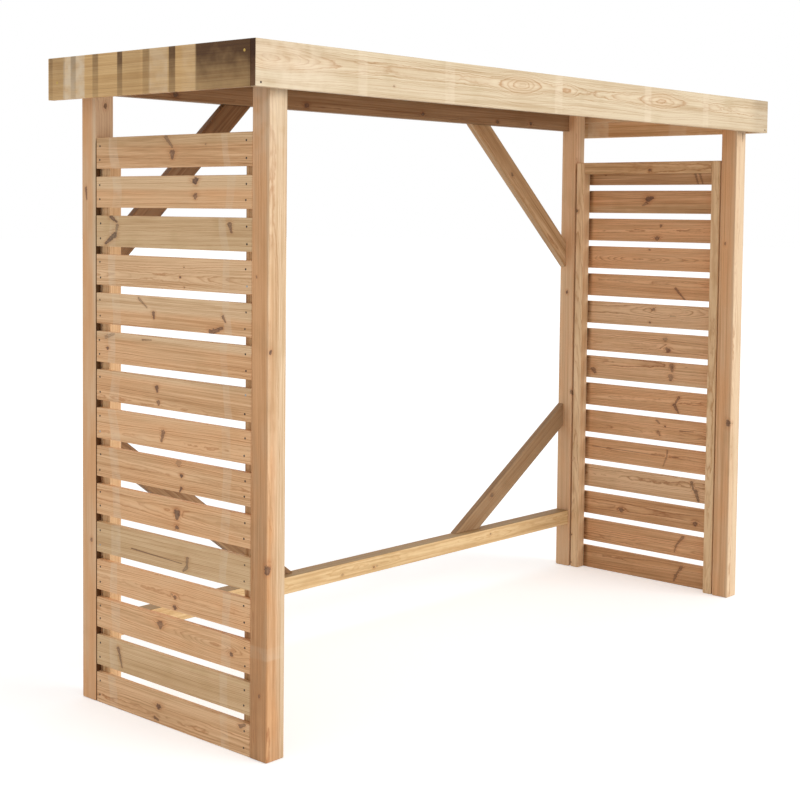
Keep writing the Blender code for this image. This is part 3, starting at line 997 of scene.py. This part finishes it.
def slat_boards(node, slats):
    """The slats of a panel from the top down, evenly spread over its height."""
    sizes = bpy.context.scene.shelter_sizes
    side, outer, reach, top = panel_frame(node)
    pitch = (top - SLAT_WIDTH) / (len(slats) - 1)
    length = 2 * (reach - sizes.slat_end_gap)
    boards = []
    for row, (tone, (pith, depth), eyes, marks) in enumerate(slats):
        height = top - SLAT_WIDTH / 2 - row * pitch
        board = {"tone": tone, "eyes": metres(eyes), "marks": metres(marks)}
        board.update(middle=(outer - side * SLAT_THICKNESS / 2, 0.0, height))
        board.update(along=Y_AXIS, across=Z_AXIS, size=(length, SLAT_WIDTH, SLAT_THICKNESS))
        board["pith"] = (pith / 1000, depth / 1000 - SLAT_THICKNESS / 2)
        boards.append(board)
    return boards


def stile_boards(node, stiles):
    """Two upright stiles behind the slats and a top rail between them."""
    sizes = bpy.context.scene.shelter_sizes
    side, outer, reach, top = panel_frame(node)
    middle_x = outer - side * (SLAT_THICKNESS + STILE_DEPTH / 2)
    middle_y = reach - STILE_INSET - STILE_WIDTH / 2
    rail_length = 2 * (middle_y - STILE_WIDTH / 2 - sizes.joint_gap)
    rear, front, rail = [
        {"tone": tone, "pith": (x / 1000, y / 1000), "marks": metres(marks), "warp": 0.0}
        for tone, (x, y), marks in stiles
    ]
    for board, y in ((rear, middle_y), (front, -middle_y)):
        board.update(middle=(middle_x, y, top / 2), along=Z_AXIS, across=Y_AXIS)
        board["size"] = (top, STILE_WIDTH, STILE_DEPTH)
    rail.update(middle=(middle_x, 0.0, top - PANEL_RAIL_HEIGHT / 2), along=Y_AXIS, across=Z_AXIS)
    rail["size"] = (rail_length, PANEL_RAIL_HEIGHT, STILE_DEPTH)
    return rear, front, rail


def nail_places(end, node, rows):
    """Two nails at each end of each slat, driven into the stiles a little unevenly."""
    draw = np.random.default_rng(SEEDS[end + "_nail_places"])
    side, outer, reach, top = panel_frame(node)
    pitch = (top - SLAT_WIDTH) / (rows - 1)
    stile = reach - STILE_INSET - STILE_WIDTH / 2
    ends = [way * (stile + shift) for way, shift in NAIL_SHIFTS.items()]
    row, y, height = np.meshgrid(np.arange(rows), ends, NAIL_HEIGHTS, indexing="ij")
    z = top - SLAT_WIDTH / 2 - row * pitch + height
    places = np.stack((np.full(z.shape, outer), y, z), axis=-1).reshape(-1, 3)
    places[:, 1:] += draw.normal(0.0, NAIL_SCATTER, (len(places), 2))
    return places, np.tile((float(side), 0.0, 0.0), (len(places), 1))


# A metal head is stained unevenly at this size, drawn coarse enough to show
METAL_STAIN_SIZE = 0.0011
METAL_STAINS = (0.3, 0.7)
METAL_TONES = (0.75, 1.15)
METAL_ROUGHNESS = (-0.08, 0.12)
NEWER_FADE = 0.05


def finish_metal(name, dark, light, roughness, metallic, bright_from=0.75):
    """Small metal heads: dull, with uneven staining that breaks up the highlight.

    Heads whose own brightness is above bright_from catch more light, as newer ones do.
    """
    material, tree, shader = new_material(name)
    place = add(tree, "TexCoord", out=3)
    stain = add(tree, "TexNoise", place, None, 1.0 / METAL_STAIN_SIZE, 2.0)
    tone = add(tree, "MapRange", stain, *METAL_STAINS, *METAL_TONES)
    rough = (roughness + step for step in METAL_ROUGHNESS)
    own = add(tree, "Attribute", out=2, attribute_name="bright")
    share = add(tree, "MapRange", own, bright_from, bright_from + NEWER_FADE, **SMOOTH)
    mixed = add(tree, "Mix", share, *TO_COLOURS, (*dark, 1.0), (*light, 1.0), **COLOURS)
    looks = {
        "Base Color": add(tree, "VectorMath SCALE", mixed, None, None, tone),
        "Metallic": metallic,
        "Roughness": add(tree, "MapRange", stain, *METAL_STAINS, *rough),
    }
    connect(tree, looks, shader.inputs)
    return material


# Roof

FELT_TURN_UP = 0.008
FELT_EDGE = 0.014
FELT_THICKNESS = 0.0025
FELT_SINK = 0.0008
ROOF_TONES = ("tan", "honey", "pale", "amber", "pink", "olive")
ROOF_BOARD_CELLS = 20
ROOF_KNOTS = 2
ROOF_KNOT_SPREAD = (0.42, 0.03)
ROOF_KNOT_REACH = 0.003
ROOF_KNOT_RADIUS = (0.004, 0.010)
ROOF_KNOT_DARKNESS = 0.8
FELT_NAIL_SCATTER = 0.004
FELT_CELLS = (120, 40)
FELT_EDGE_CELLS = 5
FELT_NAIL_SPACING = 0.16
FELT_NAIL_INSET = 0.022
FELT_GRAIN_SIZE = 0.0021
FELT_CLOUD_SIZE = 0.20
FELT_CLOUDS = 0.5
FELT_LEVELS = (0.35, 1.15)
FELT_BUMP = 0.8
FELT_WAVES = ((7.1, 2.0, 0.0), (3.3, -9.0, 1.0), (16.0, 5.0, 0.0))


def finish_felt():
    """Mineral-surfaced bitumen felt: grey grains pressed into black bitumen, rough and dry."""
    palette = bpy.context.scene.shelter_colours
    material, tree, shader = new_material("mineral_roofing_felt")
    place = add(tree, "TexCoord", out=3)
    grains = add(tree, "TexVoronoi", place, None, 1.0 / FELT_GRAIN_SIZE, out=1)
    grain_level = add(tree, "SeparateXYZ", grains)
    broad = add(tree, "TexNoise", place, None, 1.0 / FELT_CLOUD_SIZE, 3.0)
    level = add(tree, "Math MULTIPLY_ADD", broad, FELT_CLOUDS, grain_level)
    level = add(tree, "MapRange", level, *FELT_LEVELS, **SMOOTH)
    ends = ((*palette.felt_dark, 1.0), (*palette.felt, 1.0))
    looks = {
        "Base Color": add(tree, "Mix", level, *TO_COLOURS, *ends, **COLOURS),
        "Roughness": 0.92,
        "Normal": add(tree, "Bump", FELT_BUMP, FELT_GRAIN_SIZE / 3, None, grain_level),
    }
    connect(tree, looks, shader.inputs)
    return material


def felt_surface():
    """The felt as a sheet over the deck, turned up along the fascia.

    Height = deck + ripple * (sum of three slow sines) + turn-up * (1 - distance from the edge /
    turn-up width) squared close to the edges.
    """
    low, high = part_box("roofing_felt")
    ripple = bpy.context.scene.shelter_sizes.felt_ripple
    places = []
    for axis, count in enumerate(FELT_CELLS):
        start, end = low[axis], high[axis]
        near = np.linspace(0.0, FELT_EDGE, FELT_EDGE_CELLS + 1)[:-1]
        inner = np.linspace(start + FELT_EDGE, end - FELT_EDGE, count)
        places.append(np.concatenate((start + near, inner, (end - near)[::-1])))
    x, y = np.meshgrid(*places, indexing="ij")
    waves = sum(np.sin(by_x * x + by_y * y + shift) for by_x, by_y, shift in FELT_WAVES)
    from_edge = np.minimum(np.minimum(x - low.x, high.x - x), np.minimum(y - low.y, high.y - y))
    inward = np.clip(from_edge / FELT_EDGE, 0.0, 1.0)
    z = high.z - FELT_SINK + ripple * waves / len(FELT_WAVES) * inward + FELT_TURN_UP * (1 - inward) ** 2
    points = np.stack((x, y, z), axis=-1).reshape(-1, 3)
    rows, columns = x.shape
    index = np.arange(rows * columns).reshape(rows, columns)
    quads = (index[:-1, :-1], index[1:, :-1], index[1:, 1:], index[:-1, 1:])
    return points, (np.stack(quads, axis=-1).reshape(-1, 4),)


class ShelterTask:
    """What the operators share."""

    bl_options = {"REGISTER", "UNDO"}


SUN_DIRECTION = (0.25, -0.90, 0.35)
SUN_ANGLE = math.radians(40)
FLOOR_DROP = 0.0005
CAMERA_FAR = 400.0
WHITE = (1.0, 1.0, 1.0, 1.0)


def seen_directly(tree):
    """One for what the camera, a mirror or a pane sees, and nothing for what lights the shelter."""
    paths = add(tree, "LightPath").node.outputs
    seen = add(tree, "Math MAXIMUM", paths["Is Camera Ray"], paths["Is Glossy Ray"])
    return add(tree, "Math MAXIMUM", seen, paths["Is Transmission Ray"])


class SHELTER_OT_set_stage(ShelterTask, bpy.types.Operator):
    """Put up the white stage, the soft lights and the photograph's camera"""

    bl_idname = "shelter.set_stage"
    bl_label = "Set the stage"

    def execute(self, context):
        settings = context.scene.shelter_stage
        self.lay_floor(settings)
        self.light(context.scene, settings)
        self.place_camera(context.scene)
        context.scene.view_settings.view_transform = "Standard"
        return {"FINISHED"}

    def lay_floor(self, settings):
        """A matt white floor, to which the camera sees enough white added to hide its edge."""
        reach = settings.floor_reach
        sides = ((-reach, -reach), (reach, -reach), (reach, reach), (-reach, reach))
        mesh = bpy.data.meshes.new("floor")
        mesh.from_pydata([(x, y, -FLOOR_DROP) for x, y in sides], [], [(0, 1, 2, 3)])
        floor = bpy.data.objects.new("floor", mesh)
        bpy.context.scene.collection.objects.link(floor)
        material, tree, shader = new_material("matt_white_floor")
        looks = {
            "Base Color": (*settings.floor_colour, 1.0),
            "Roughness": 1.0,
            "Specular IOR Level": 0.0,
        }
        connect(tree, looks, shader.inputs)
        strength = add(tree, "Math MULTIPLY", seen_directly(tree), settings.floor_glow)
        glow = add(tree, "Emission", WHITE, strength)
        both = add(tree, "AddShader", shader.outputs[0], glow)
        connect(tree, {"Surface": both}, tree.nodes["Material Output"].inputs)
        mesh.materials.append(material)

    def light(self, scene, settings):
        """A soft key light from low in front, and even white surroundings."""
        world = bpy.data.worlds.new("white_surroundings")
        world.use_nodes = True
        tree = world.node_tree
        level = settings.sky_level
        light = tree.nodes["Background"]
        connect(tree, {"Color": (level, level, level, 1.0), "Strength": 1.0}, light.inputs)
        white = add(tree, "Background", WHITE, 1.0)
        mixed = add(tree, "MixShader", seen_directly(tree), light.outputs[0], white)
        connect(tree, {"Surface": mixed}, tree.nodes["World Output"].inputs)
        scene.world = world
        sun = bpy.data.lights.new("soft_key", "SUN")
        sun.energy = settings.sun_strength
        sun.angle = SUN_ANGLE
        lamp = bpy.data.objects.new("soft_key", sun)
        lamp.rotation_mode = "QUATERNION"
        lamp.rotation_quaternion = Vector(SUN_DIRECTION).to_track_quat("Z", "Y")
        scene.collection.objects.link(lamp)

    def place_camera(self, scene):
        """A level camera turned by heading, tilt and roll, shifted as the photograph was cropped."""
        flat = math.cos(CAMERA_TILT)
        heading = (math.sin(CAMERA_HEADING), math.cos(CAMERA_HEADING))
        forward = Vector((heading[0] * flat, heading[1] * flat, math.sin(CAMERA_TILT)))
        level_right = Vector((heading[1], -heading[0], 0.0))
        level_up = level_right.cross(forward)
        right = level_right * math.cos(CAMERA_ROLL) + level_up * math.sin(CAMERA_ROLL)
        up = level_up * math.cos(CAMERA_ROLL) - level_right * math.sin(CAMERA_ROLL)
        data = bpy.data.cameras.new("photograph_camera")
        data.sensor_width = SENSOR_WIDTH_MM
        data.lens = FOCAL_PIXELS * SENSOR_WIDTH_MM / PICTURE_PIXELS
        data.shift_y = (OPTICAL_AXIS_ROW - PICTURE_PIXELS / 2) / PICTURE_PIXELS
        data.clip_end = CAMERA_FAR
        camera = bpy.data.objects.new("photograph_camera", data)
        camera.matrix_world = Matrix.LocRotScale(
            Vector(CAMERA_PLACE), Matrix((right, up, -forward)).transposed(), None
        )
        scene.collection.objects.link(camera)
        scene.camera = camera


# Painted shade on the rear left post: a dark strip between the slats, where they end against it
PANEL_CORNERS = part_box("left_slat_panel")
SLAT_END_PAINTED_SHADE = (PANEL_CORNERS[0].x + SLAT_THICKNESS / 2, SLAT_THICKNESS / 2, PANEL_CORNERS[1].z)
LONG_BOARD_FIGURE = 1.25
END_BOARD_FIGURE = 0.8
BRACE_PITH = (20, -30)
# How much darker the rear rail's upward faces are
RAIL_TOP_DARKENING = 0.55

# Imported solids, as finish_solids takes them. A mark is its place and its reach in the shelter's
# own directions, its radius and its darkness.
POSTS = (
    ("post_front_left", "post", Z_AXIS, (30, 30), "heart", (
        (-1322, -433, 556, 4, 6, -4, 11, 75), (-1316, -435, 1179, 1, 20, 0, 5, 80),
        (-1325, -385, 1390, 20, 1, 1, 3, 45), (-1325, -405, 190, 20, 1, 1, 4, 50),
    ), {"slope": 0.012, "bleach": FRONT_POST_LATH_MARK_AND_PAINTED_LIGHT, "stain": FRONT_POST_DARKER_FOOT}),
    ("post_rear_left", "post", Z_AXIS, (34, 34), "rosy", (
        (-1325, 414, 1640, 1, -4, -32, 5, 65), (-1286, 365, 1902, 1, 20, 1, 6, 70),
        (-1325, 388, 520, 20, 1, 1, 5, 60),
    ), {"slope": 0.014, "strip": SLAT_END_PAINTED_SHADE}),
    ("post_front_right", "post", Z_AXIS, (37, 26), "cream", (
        (1257, -424, 724, 10, -6, 2, 10, 75), (1300, -435, 1905, 0, 10, -60, 5, 45),
        (1255, -390, 1460, 20, 1, 1, 4, 50),
    ), {}),
    ("post_rear_right", "post", Z_AXIS, (24, 36), "blush", (
        (1255, 397, 1228, 20, 1, 1, 5, 90), (1255, 364, 786, 20, 3, -16, 7, 60),
    ), {"slope": 0.004}),
)
FASCIA = (
    ("front_fascia", "fascia", X_AXIS, (18, -35), "honey", ((-860, -480, 1952, 0, 20, 0, 3, 35),), {
        "eyes": ((-1360, 200, 45), (-244, 95, 34), (20, 50, 10), (620, 120, 26)),
        "figure": LONG_BOARD_FIGURE, "bleach": FRONT_LATH_MARKS, "stain": FRONT_STAINS,
    }),
    ("rear_fascia", "side", X_AXIS, (-12, 35), "tan", (
        (420, 480, 1980, 1, -20, 1, 8, 80), (-610, 480, 2010, 1, -20, 1, 5, 70),
    ), {
        "eyes": ((500, 300, 60), (-900, 250, 60)),
        "figure": LONG_BOARD_FIGURE, "bleach": FRONT_LATH_MARKS,
    }),
    ("left_fascia", "side", Y_AXIS, (110, 35), "tan", (), {
        "figure": END_BOARD_FIGURE, "bleach": END_FASCIA_LATH_MARKS, "stain": END_FASCIA_STAINS,
    }),
    ("right_fascia", "slat", Y_AXIS, (15, -40), "grey", ((1420, 210, 2000, -20, 0, 0, 7, 75),), {
        "eyes": ((100, 200, 60),), "figure": END_BOARD_FIGURE, "bleach": END_FASCIA_LATH_MARKS,
    }),
)
TIMBERS = (
    ("front_top_beam", "brace", X_AXIS, (20, 30), "dark", (
        (200, -400, 1980, 1, -20, 1, 8, 70), (-650, -400, 1965, 1, -20, 1, 6, 70),
    ), {}),
    ("rear_top_beam", "brace", X_AXIS, (-20, 30), "moss", (
        (-974, 400, 1959, 1, 20, 1, 8, 80), (-366, 400, 1959, 1, 20, 1, 8, 80),
        (273, 400, 1963, 1, 20, 1, 6, 80), (746, 400, 1955, 1, 20, 1, 6, 80),
        (975, 400, 1960, 1, 20, 1, 6, 80),
    ), {}),
    ("left_edge_batten", "post", Y_AXIS, (20, 30), "tan", (), {}),
    ("right_edge_batten", "post", Y_AXIS, (30, 20), "pale", (), {}),
    ("rear_bottom_rail", "rail", X_AXIS, (4, -30), "honey", (
        (-190, 370, 210, 4, 20, 0, 5, 30), (-17, 370, 211, 1, 20, 1, 4, 70),
        (0, 370, 213, 24, 20, 1, 3, 30), (700, 370, 230, 1, 20, 1, 4, 50),
    ), {"top": RAIL_TOP_DARKENING}),
)

# Braces: node, colours, which way they lean to their post along X and Z, tone and marks
BRACES = (
    ("upper_brace_left", "brace", -1, -1, "umber", ((-1020, 407, 1560, 0, 20, 0, 7, 70),)),
    ("upper_brace_right", "post", 1, -1, "dark", ((860, 407, 1740, 0, 20, 0, 7, 60),)),
    # The lower left brace's dark tone is painted shade on its front face and lower edge, over its brown
    # wood
    ("lower_brace_left", "brace", -1, 1, "dark", ((-830, 407, 540, 0, 20, 0, 7, 70),)),
    ("lower_brace_right", "brace", 1, 1, "grey", (
        (934, 407, 642, 4, 20, 4, 10, 35), (753, 407, 383, 10, 20, 4, 9, 45),
    )),
)


def brace_direction(node, away, rise):
    """A brace's grain runs from its seat to the post, along the diagonal of its box."""
    low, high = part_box(node)
    return Vector((away * (high.x - low.x), 0.0, rise * (high.z - low.z))).normalized()


class SHELTER_OT_finish_posts(ShelterTask, bpy.types.Operator):
    """Finish the four posts in planed pine"""

    bl_idname = "shelter.finish_posts"
    bl_label = "Finish the posts"

    def execute(self, context):
        finish_solids(POSTS, SEEDS["posts"], Y_AXIS, heartwood=POST_HEARTWOOD)
        return {"FINISHED"}


class SHELTER_OT_finish_fascia(ShelterTask, bpy.types.Operator):
    """Finish the four boards of the roof's edge"""

    bl_idname = "shelter.finish_fascia"
    bl_label = "Finish the fascia"

    def execute(self, context):
        finish_solids(FASCIA, SEEDS["fascia"], Z_AXIS)
        return {"FINISHED"}


class SHELTER_OT_finish_frame(ShelterTask, bpy.types.Operator):
    """Finish the roof beams, edge battens, rear rail and braces"""

    bl_idname = "shelter.finish_frame"
    bl_label = "Finish the beams, rail and braces"

    def execute(self, context):
        finish_solids(TIMBERS, SEEDS["timbers"], Z_AXIS)
        braces = [
            (node, colours, brace_direction(node, away, rise), BRACE_PITH, tone, marks, {})
            for node, colours, away, rise, tone, marks in BRACES
        ]
        finish_solids(braces, SEEDS["braces"])
        return {"FINISHED"}


# Each panel's slats: colours, table, and what else their finish takes
PANELS = {
    "left": ("slat", LEFT_SLATS, {
        "figure": 0.95, "bleach": SLAT_LATH_MARKS, "drift": SLAT_LATH_DRIFT,
    }),
    # The right slats' dark bands are painted shade beside the stiles
    "right": ("inner", RIGHT_SLATS, {"figure": 1.05, "stain": PAINTED_SHADE_BESIDE_STILES, "painted_shade_inside": True}),
}


class SHELTER_OT_build_panels(ShelterTask, bpy.types.Operator):
    """Build the two end panels from separate slats, stiles and rails, and nail them"""

    bl_idname = "shelter.build_panels"
    bl_label = "Build the slatted panels"

    def execute(self, context):
        sizes = context.scene.shelter_sizes
        palette = context.scene.shelter_colours
        grain = grain_from_attributes
        finishes = {
            end: finish_pine(
                f"planed_pine_{end}_slats", colours, grain, heartwood=SLAT_HEARTWOOD, **own
            )
            for end, (colours, _, own) in PANELS.items()
        }
        stile_finish = finish_pine("planed_pine_stiles", "slat", grain)
        metals = (palette.steel, palette.zinc)
        nail_finish = finish_metal("dull_steel_nails", *metals, **STEEL, bright_from=NEWER_NAILS)
        head = head_profile(sizes.nail_head, NAIL_CROWN, HEAD_DEPTH)
        for end, (_, slats, _) in PANELS.items():
            node = end + "_slat_panel"
            panel = ("panels", (node,))
            boards = slat_boards(node, slats)
            arris, cells = sizes.slat_arris, sizes.slat_cells
            join_boards(end + "_slats", boards, finishes[end], *panel, arris, cells)
            boards = stile_boards(node, STILES[end])
            arris, cells = sizes.frame_arris, 2 * sizes.slat_cells
            join_boards(end + "_stiles", boards, stile_finish, *panel, arris, cells)
            places, axes = nail_places(end, node, len(slats))
            drive_heads(end + "_panel_nails", head, NAIL_SIDES, places, axes, nail_finish)
        return {"FINISHED"}


class SHELTER_OT_build_roof(ShelterTask, bpy.types.Operator):
    """Lay the roof boards and the mineral felt, and nail the felt down"""

    bl_idname = "shelter.build_roof"
    bl_label = "Build the roof"

    def execute(self, context):
        sizes = context.scene.shelter_sizes
        finish = finish_pine("planed_pine_roof_boards", "slat", grain_from_attributes)
        deck = ("deck", ("roof_deck",), sizes.slat_arris, ROOF_BOARD_CELLS)
        join_boards("roof_boards", self.roof_boards(sizes), finish, *deck)
        points, blocks = felt_surface()
        felt = make_piece("felt_sheet", points, blocks, finish_felt(), (), ("roofing_felt",))
        thick = felt.modifiers.new("thickness", "SOLIDIFY")
        thick.thickness = FELT_THICKNESS
        thick.offset = -1.0
        self.nail_felt(sizes, context.scene.shelter_colours)
        return {"FINISHED"}

    def roof_boards(self, sizes):
        """Boards side by side across the roof, each with its own tone and up to two knots."""
        low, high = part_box("roof_deck")
        count = round((high.x - low.x) / sizes.deck_board)
        pitch = (high.x - low.x) / count
        draw = np.random.default_rng(SEEDS["roof_board_looks"])
        boards = []
        for number in range(count):
            marks = []
            for _ in range(draw.integers(0, ROOF_KNOTS + 1)):
                at, height = (draw.uniform(-spread, spread) for spread in ROOF_KNOT_SPREAD)
                far = (at + ROOF_KNOT_REACH, height - ROOF_KNOT_REACH)
                marks.append((at, height, *far, draw.uniform(*ROOF_KNOT_RADIUS), ROOF_KNOT_DARKNESS))
            board = {"tone": ROOF_TONES[draw.integers(len(ROOF_TONES))], "marks": marks, "warp": 0.0}
            board.update(middle=(low.x + pitch * (number + 0.5), 0.0, (low.z + high.z) / 2))
            board["size"] = (high.y - low.y, pitch - sizes.joint_gap, high.z - low.z)
            boards.append({**board, "along": Y_AXIS, "across": X_AXIS})
        return boards

    def nail_felt(self, sizes, palette):
        """Galvanised clout nails around the felt's edge."""
        low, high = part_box("roofing_felt")
        reach_x, reach_y = high.x - FELT_NAIL_INSET, high.y - FELT_NAIL_INSET
        along = np.linspace(-reach_x, reach_x, round(2 * reach_x / FELT_NAIL_SPACING) + 1)
        over = np.linspace(-reach_y, reach_y, round(2 * reach_y / FELT_NAIL_SPACING) + 1)[1:-1]
        rows = [np.stack((along, np.full_like(along, y)), axis=1) for y in (-reach_y, reach_y)]
        rows += [np.stack((np.full_like(over, x), over), axis=1) for x in (-reach_x, reach_x)]
        flat = np.concatenate(rows)
        draw = np.random.default_rng(SEEDS["felt_nail_places"])
        flat += draw.normal(0.0, FELT_NAIL_SCATTER, flat.shape)
        places = np.concatenate((flat, np.full((len(flat), 1), high.z)), axis=1)
        axes = np.tile((0.0, 0.0, 1.0), (len(flat), 1))
        finish = finish_metal("galvanised_nails", palette.zinc, palette.zinc, **ZINC)
        head = head_profile(sizes.clout_head, CLOUT_CROWN, HEAD_DEPTH)
        drive_heads("felt_nails", head, CLOUT_SIDES, places, axes, finish)


# Heads of nails and screws. The fascia's are driven level with the surface.
NAIL_CROWN = 0.0004
CLOUT_CROWN = 0.0009
HEAD_DEPTH = 0.004
DOME_STEPS = (0.0, 0.45, 0.8, 1.0)
NAIL_SIDES = 12
CLOUT_SIDES = 14
SCREW_SIDES = 20
STEEL = {"roughness": 0.55, "metallic": 0.5}
ZINC = {"roughness": 0.5, "metallic": 0.8}
BRASS = {"roughness": 0.35, "metallic": 0.9}
NEWER_NAILS = 0.85
NO_NEWER_NAILS = 2.0
SCREW_CROWN = 0.0002
SCREW_RISE = 0.00005
FASCIA_SCREWS = ((-0.436, 2.015), (0.433, 1.968))
FASCIA_NAILS = ((1.399, 1.927),)


class SHELTER_OT_drive_screws(ShelterTask, bpy.types.Operator):
    """Drive the screws and nails of the roof's edge"""

    bl_idname = "shelter.drive_screws"
    bl_label = "Drive the screws"

    def execute(self, context):
        sizes = context.scene.shelter_sizes
        palette = context.scene.shelter_colours
        low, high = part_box("front_fascia")
        reach = high.x + SCREW_RISE
        ends = [(side * reach, y, z) for side in (-1, 1) for y, z in FASCIA_SCREWS]
        end_axes = [(side, 0.0, 0.0) for side in (-1, 1) for _ in FASCIA_SCREWS]
        depth = low.y - SCREW_RISE
        front = [(side * x, depth, z) for side in (-1, 1) for x, z in FASCIA_NAILS]
        front_axes = [(0.0, -1.0, 0.0)] * len(front)
        screw = head_profile(sizes.screw_head, SCREW_CROWN, HEAD_DEPTH)
        nail = head_profile(sizes.nail_head, SCREW_CROWN, HEAD_DEPTH)
        brass = finish_metal("passivated_screws", palette.brass, palette.brass, **BRASS)
        metals = (palette.steel, palette.zinc)
        steel = finish_metal(
            "dull_steel_fascia_nails", *metals, **STEEL, bright_from=NO_NEWER_NAILS
        )
        drive_heads("fascia_screws", screw, SCREW_SIDES, ends, end_axes, brass)
        drive_heads("fascia_nails", nail, NAIL_SIDES, front, front_axes, steel)
        return {"FINISHED"}


TASKS = (
    SHELTER_OT_set_stage,
    SHELTER_OT_finish_posts,
    SHELTER_OT_finish_fascia,
    SHELTER_OT_finish_frame,
    SHELTER_OT_build_panels,
    SHELTER_OT_build_roof,
    SHELTER_OT_drive_screws,
)


class SHELTER_PT_sidebar(bpy.types.Panel):
    """Lists the shelter's tasks in the order in which they are done"""

    bl_idname = "SHELTER_PT_sidebar"
    bl_label = "Timber shelter"
    bl_space_type = "VIEW_3D"
    bl_region_type = "UI"
    bl_category = "Shelter"

    def draw(self, context):
        for task in TASKS:
            self.layout.operator(task.bl_idname)


SETTINGS = (
    ("shelter_colours", ShelterColours),
    ("shelter_sizes", ShelterSizes),
    ("shelter_stage", ShelterStage),
)


def register():
    for name, group in SETTINGS:
        bpy.utils.register_class(group)
        setattr(bpy.types.Scene, name, PointerProperty(type=group))
    for task in TASKS:
        bpy.utils.register_class(task)
    bpy.utils.register_class(SHELTER_PT_sidebar)


def unregister():
    bpy.utils.unregister_class(SHELTER_PT_sidebar)
    for task in reversed(TASKS):
        bpy.utils.unregister_class(task)
    for name, group in reversed(SETTINGS):
        delattr(bpy.types.Scene, name)
        bpy.utils.unregister_class(group)


def main():
    register()
    bpy.ops.shelter.set_stage()
    bpy.ops.shelter.finish_posts()
    bpy.ops.shelter.finish_fascia()
    bpy.ops.shelter.finish_frame()
    bpy.ops.shelter.build_panels()
    bpy.ops.shelter.build_roof()
    bpy.ops.shelter.drive_screws()


if __name__ == "__main__":
    main()
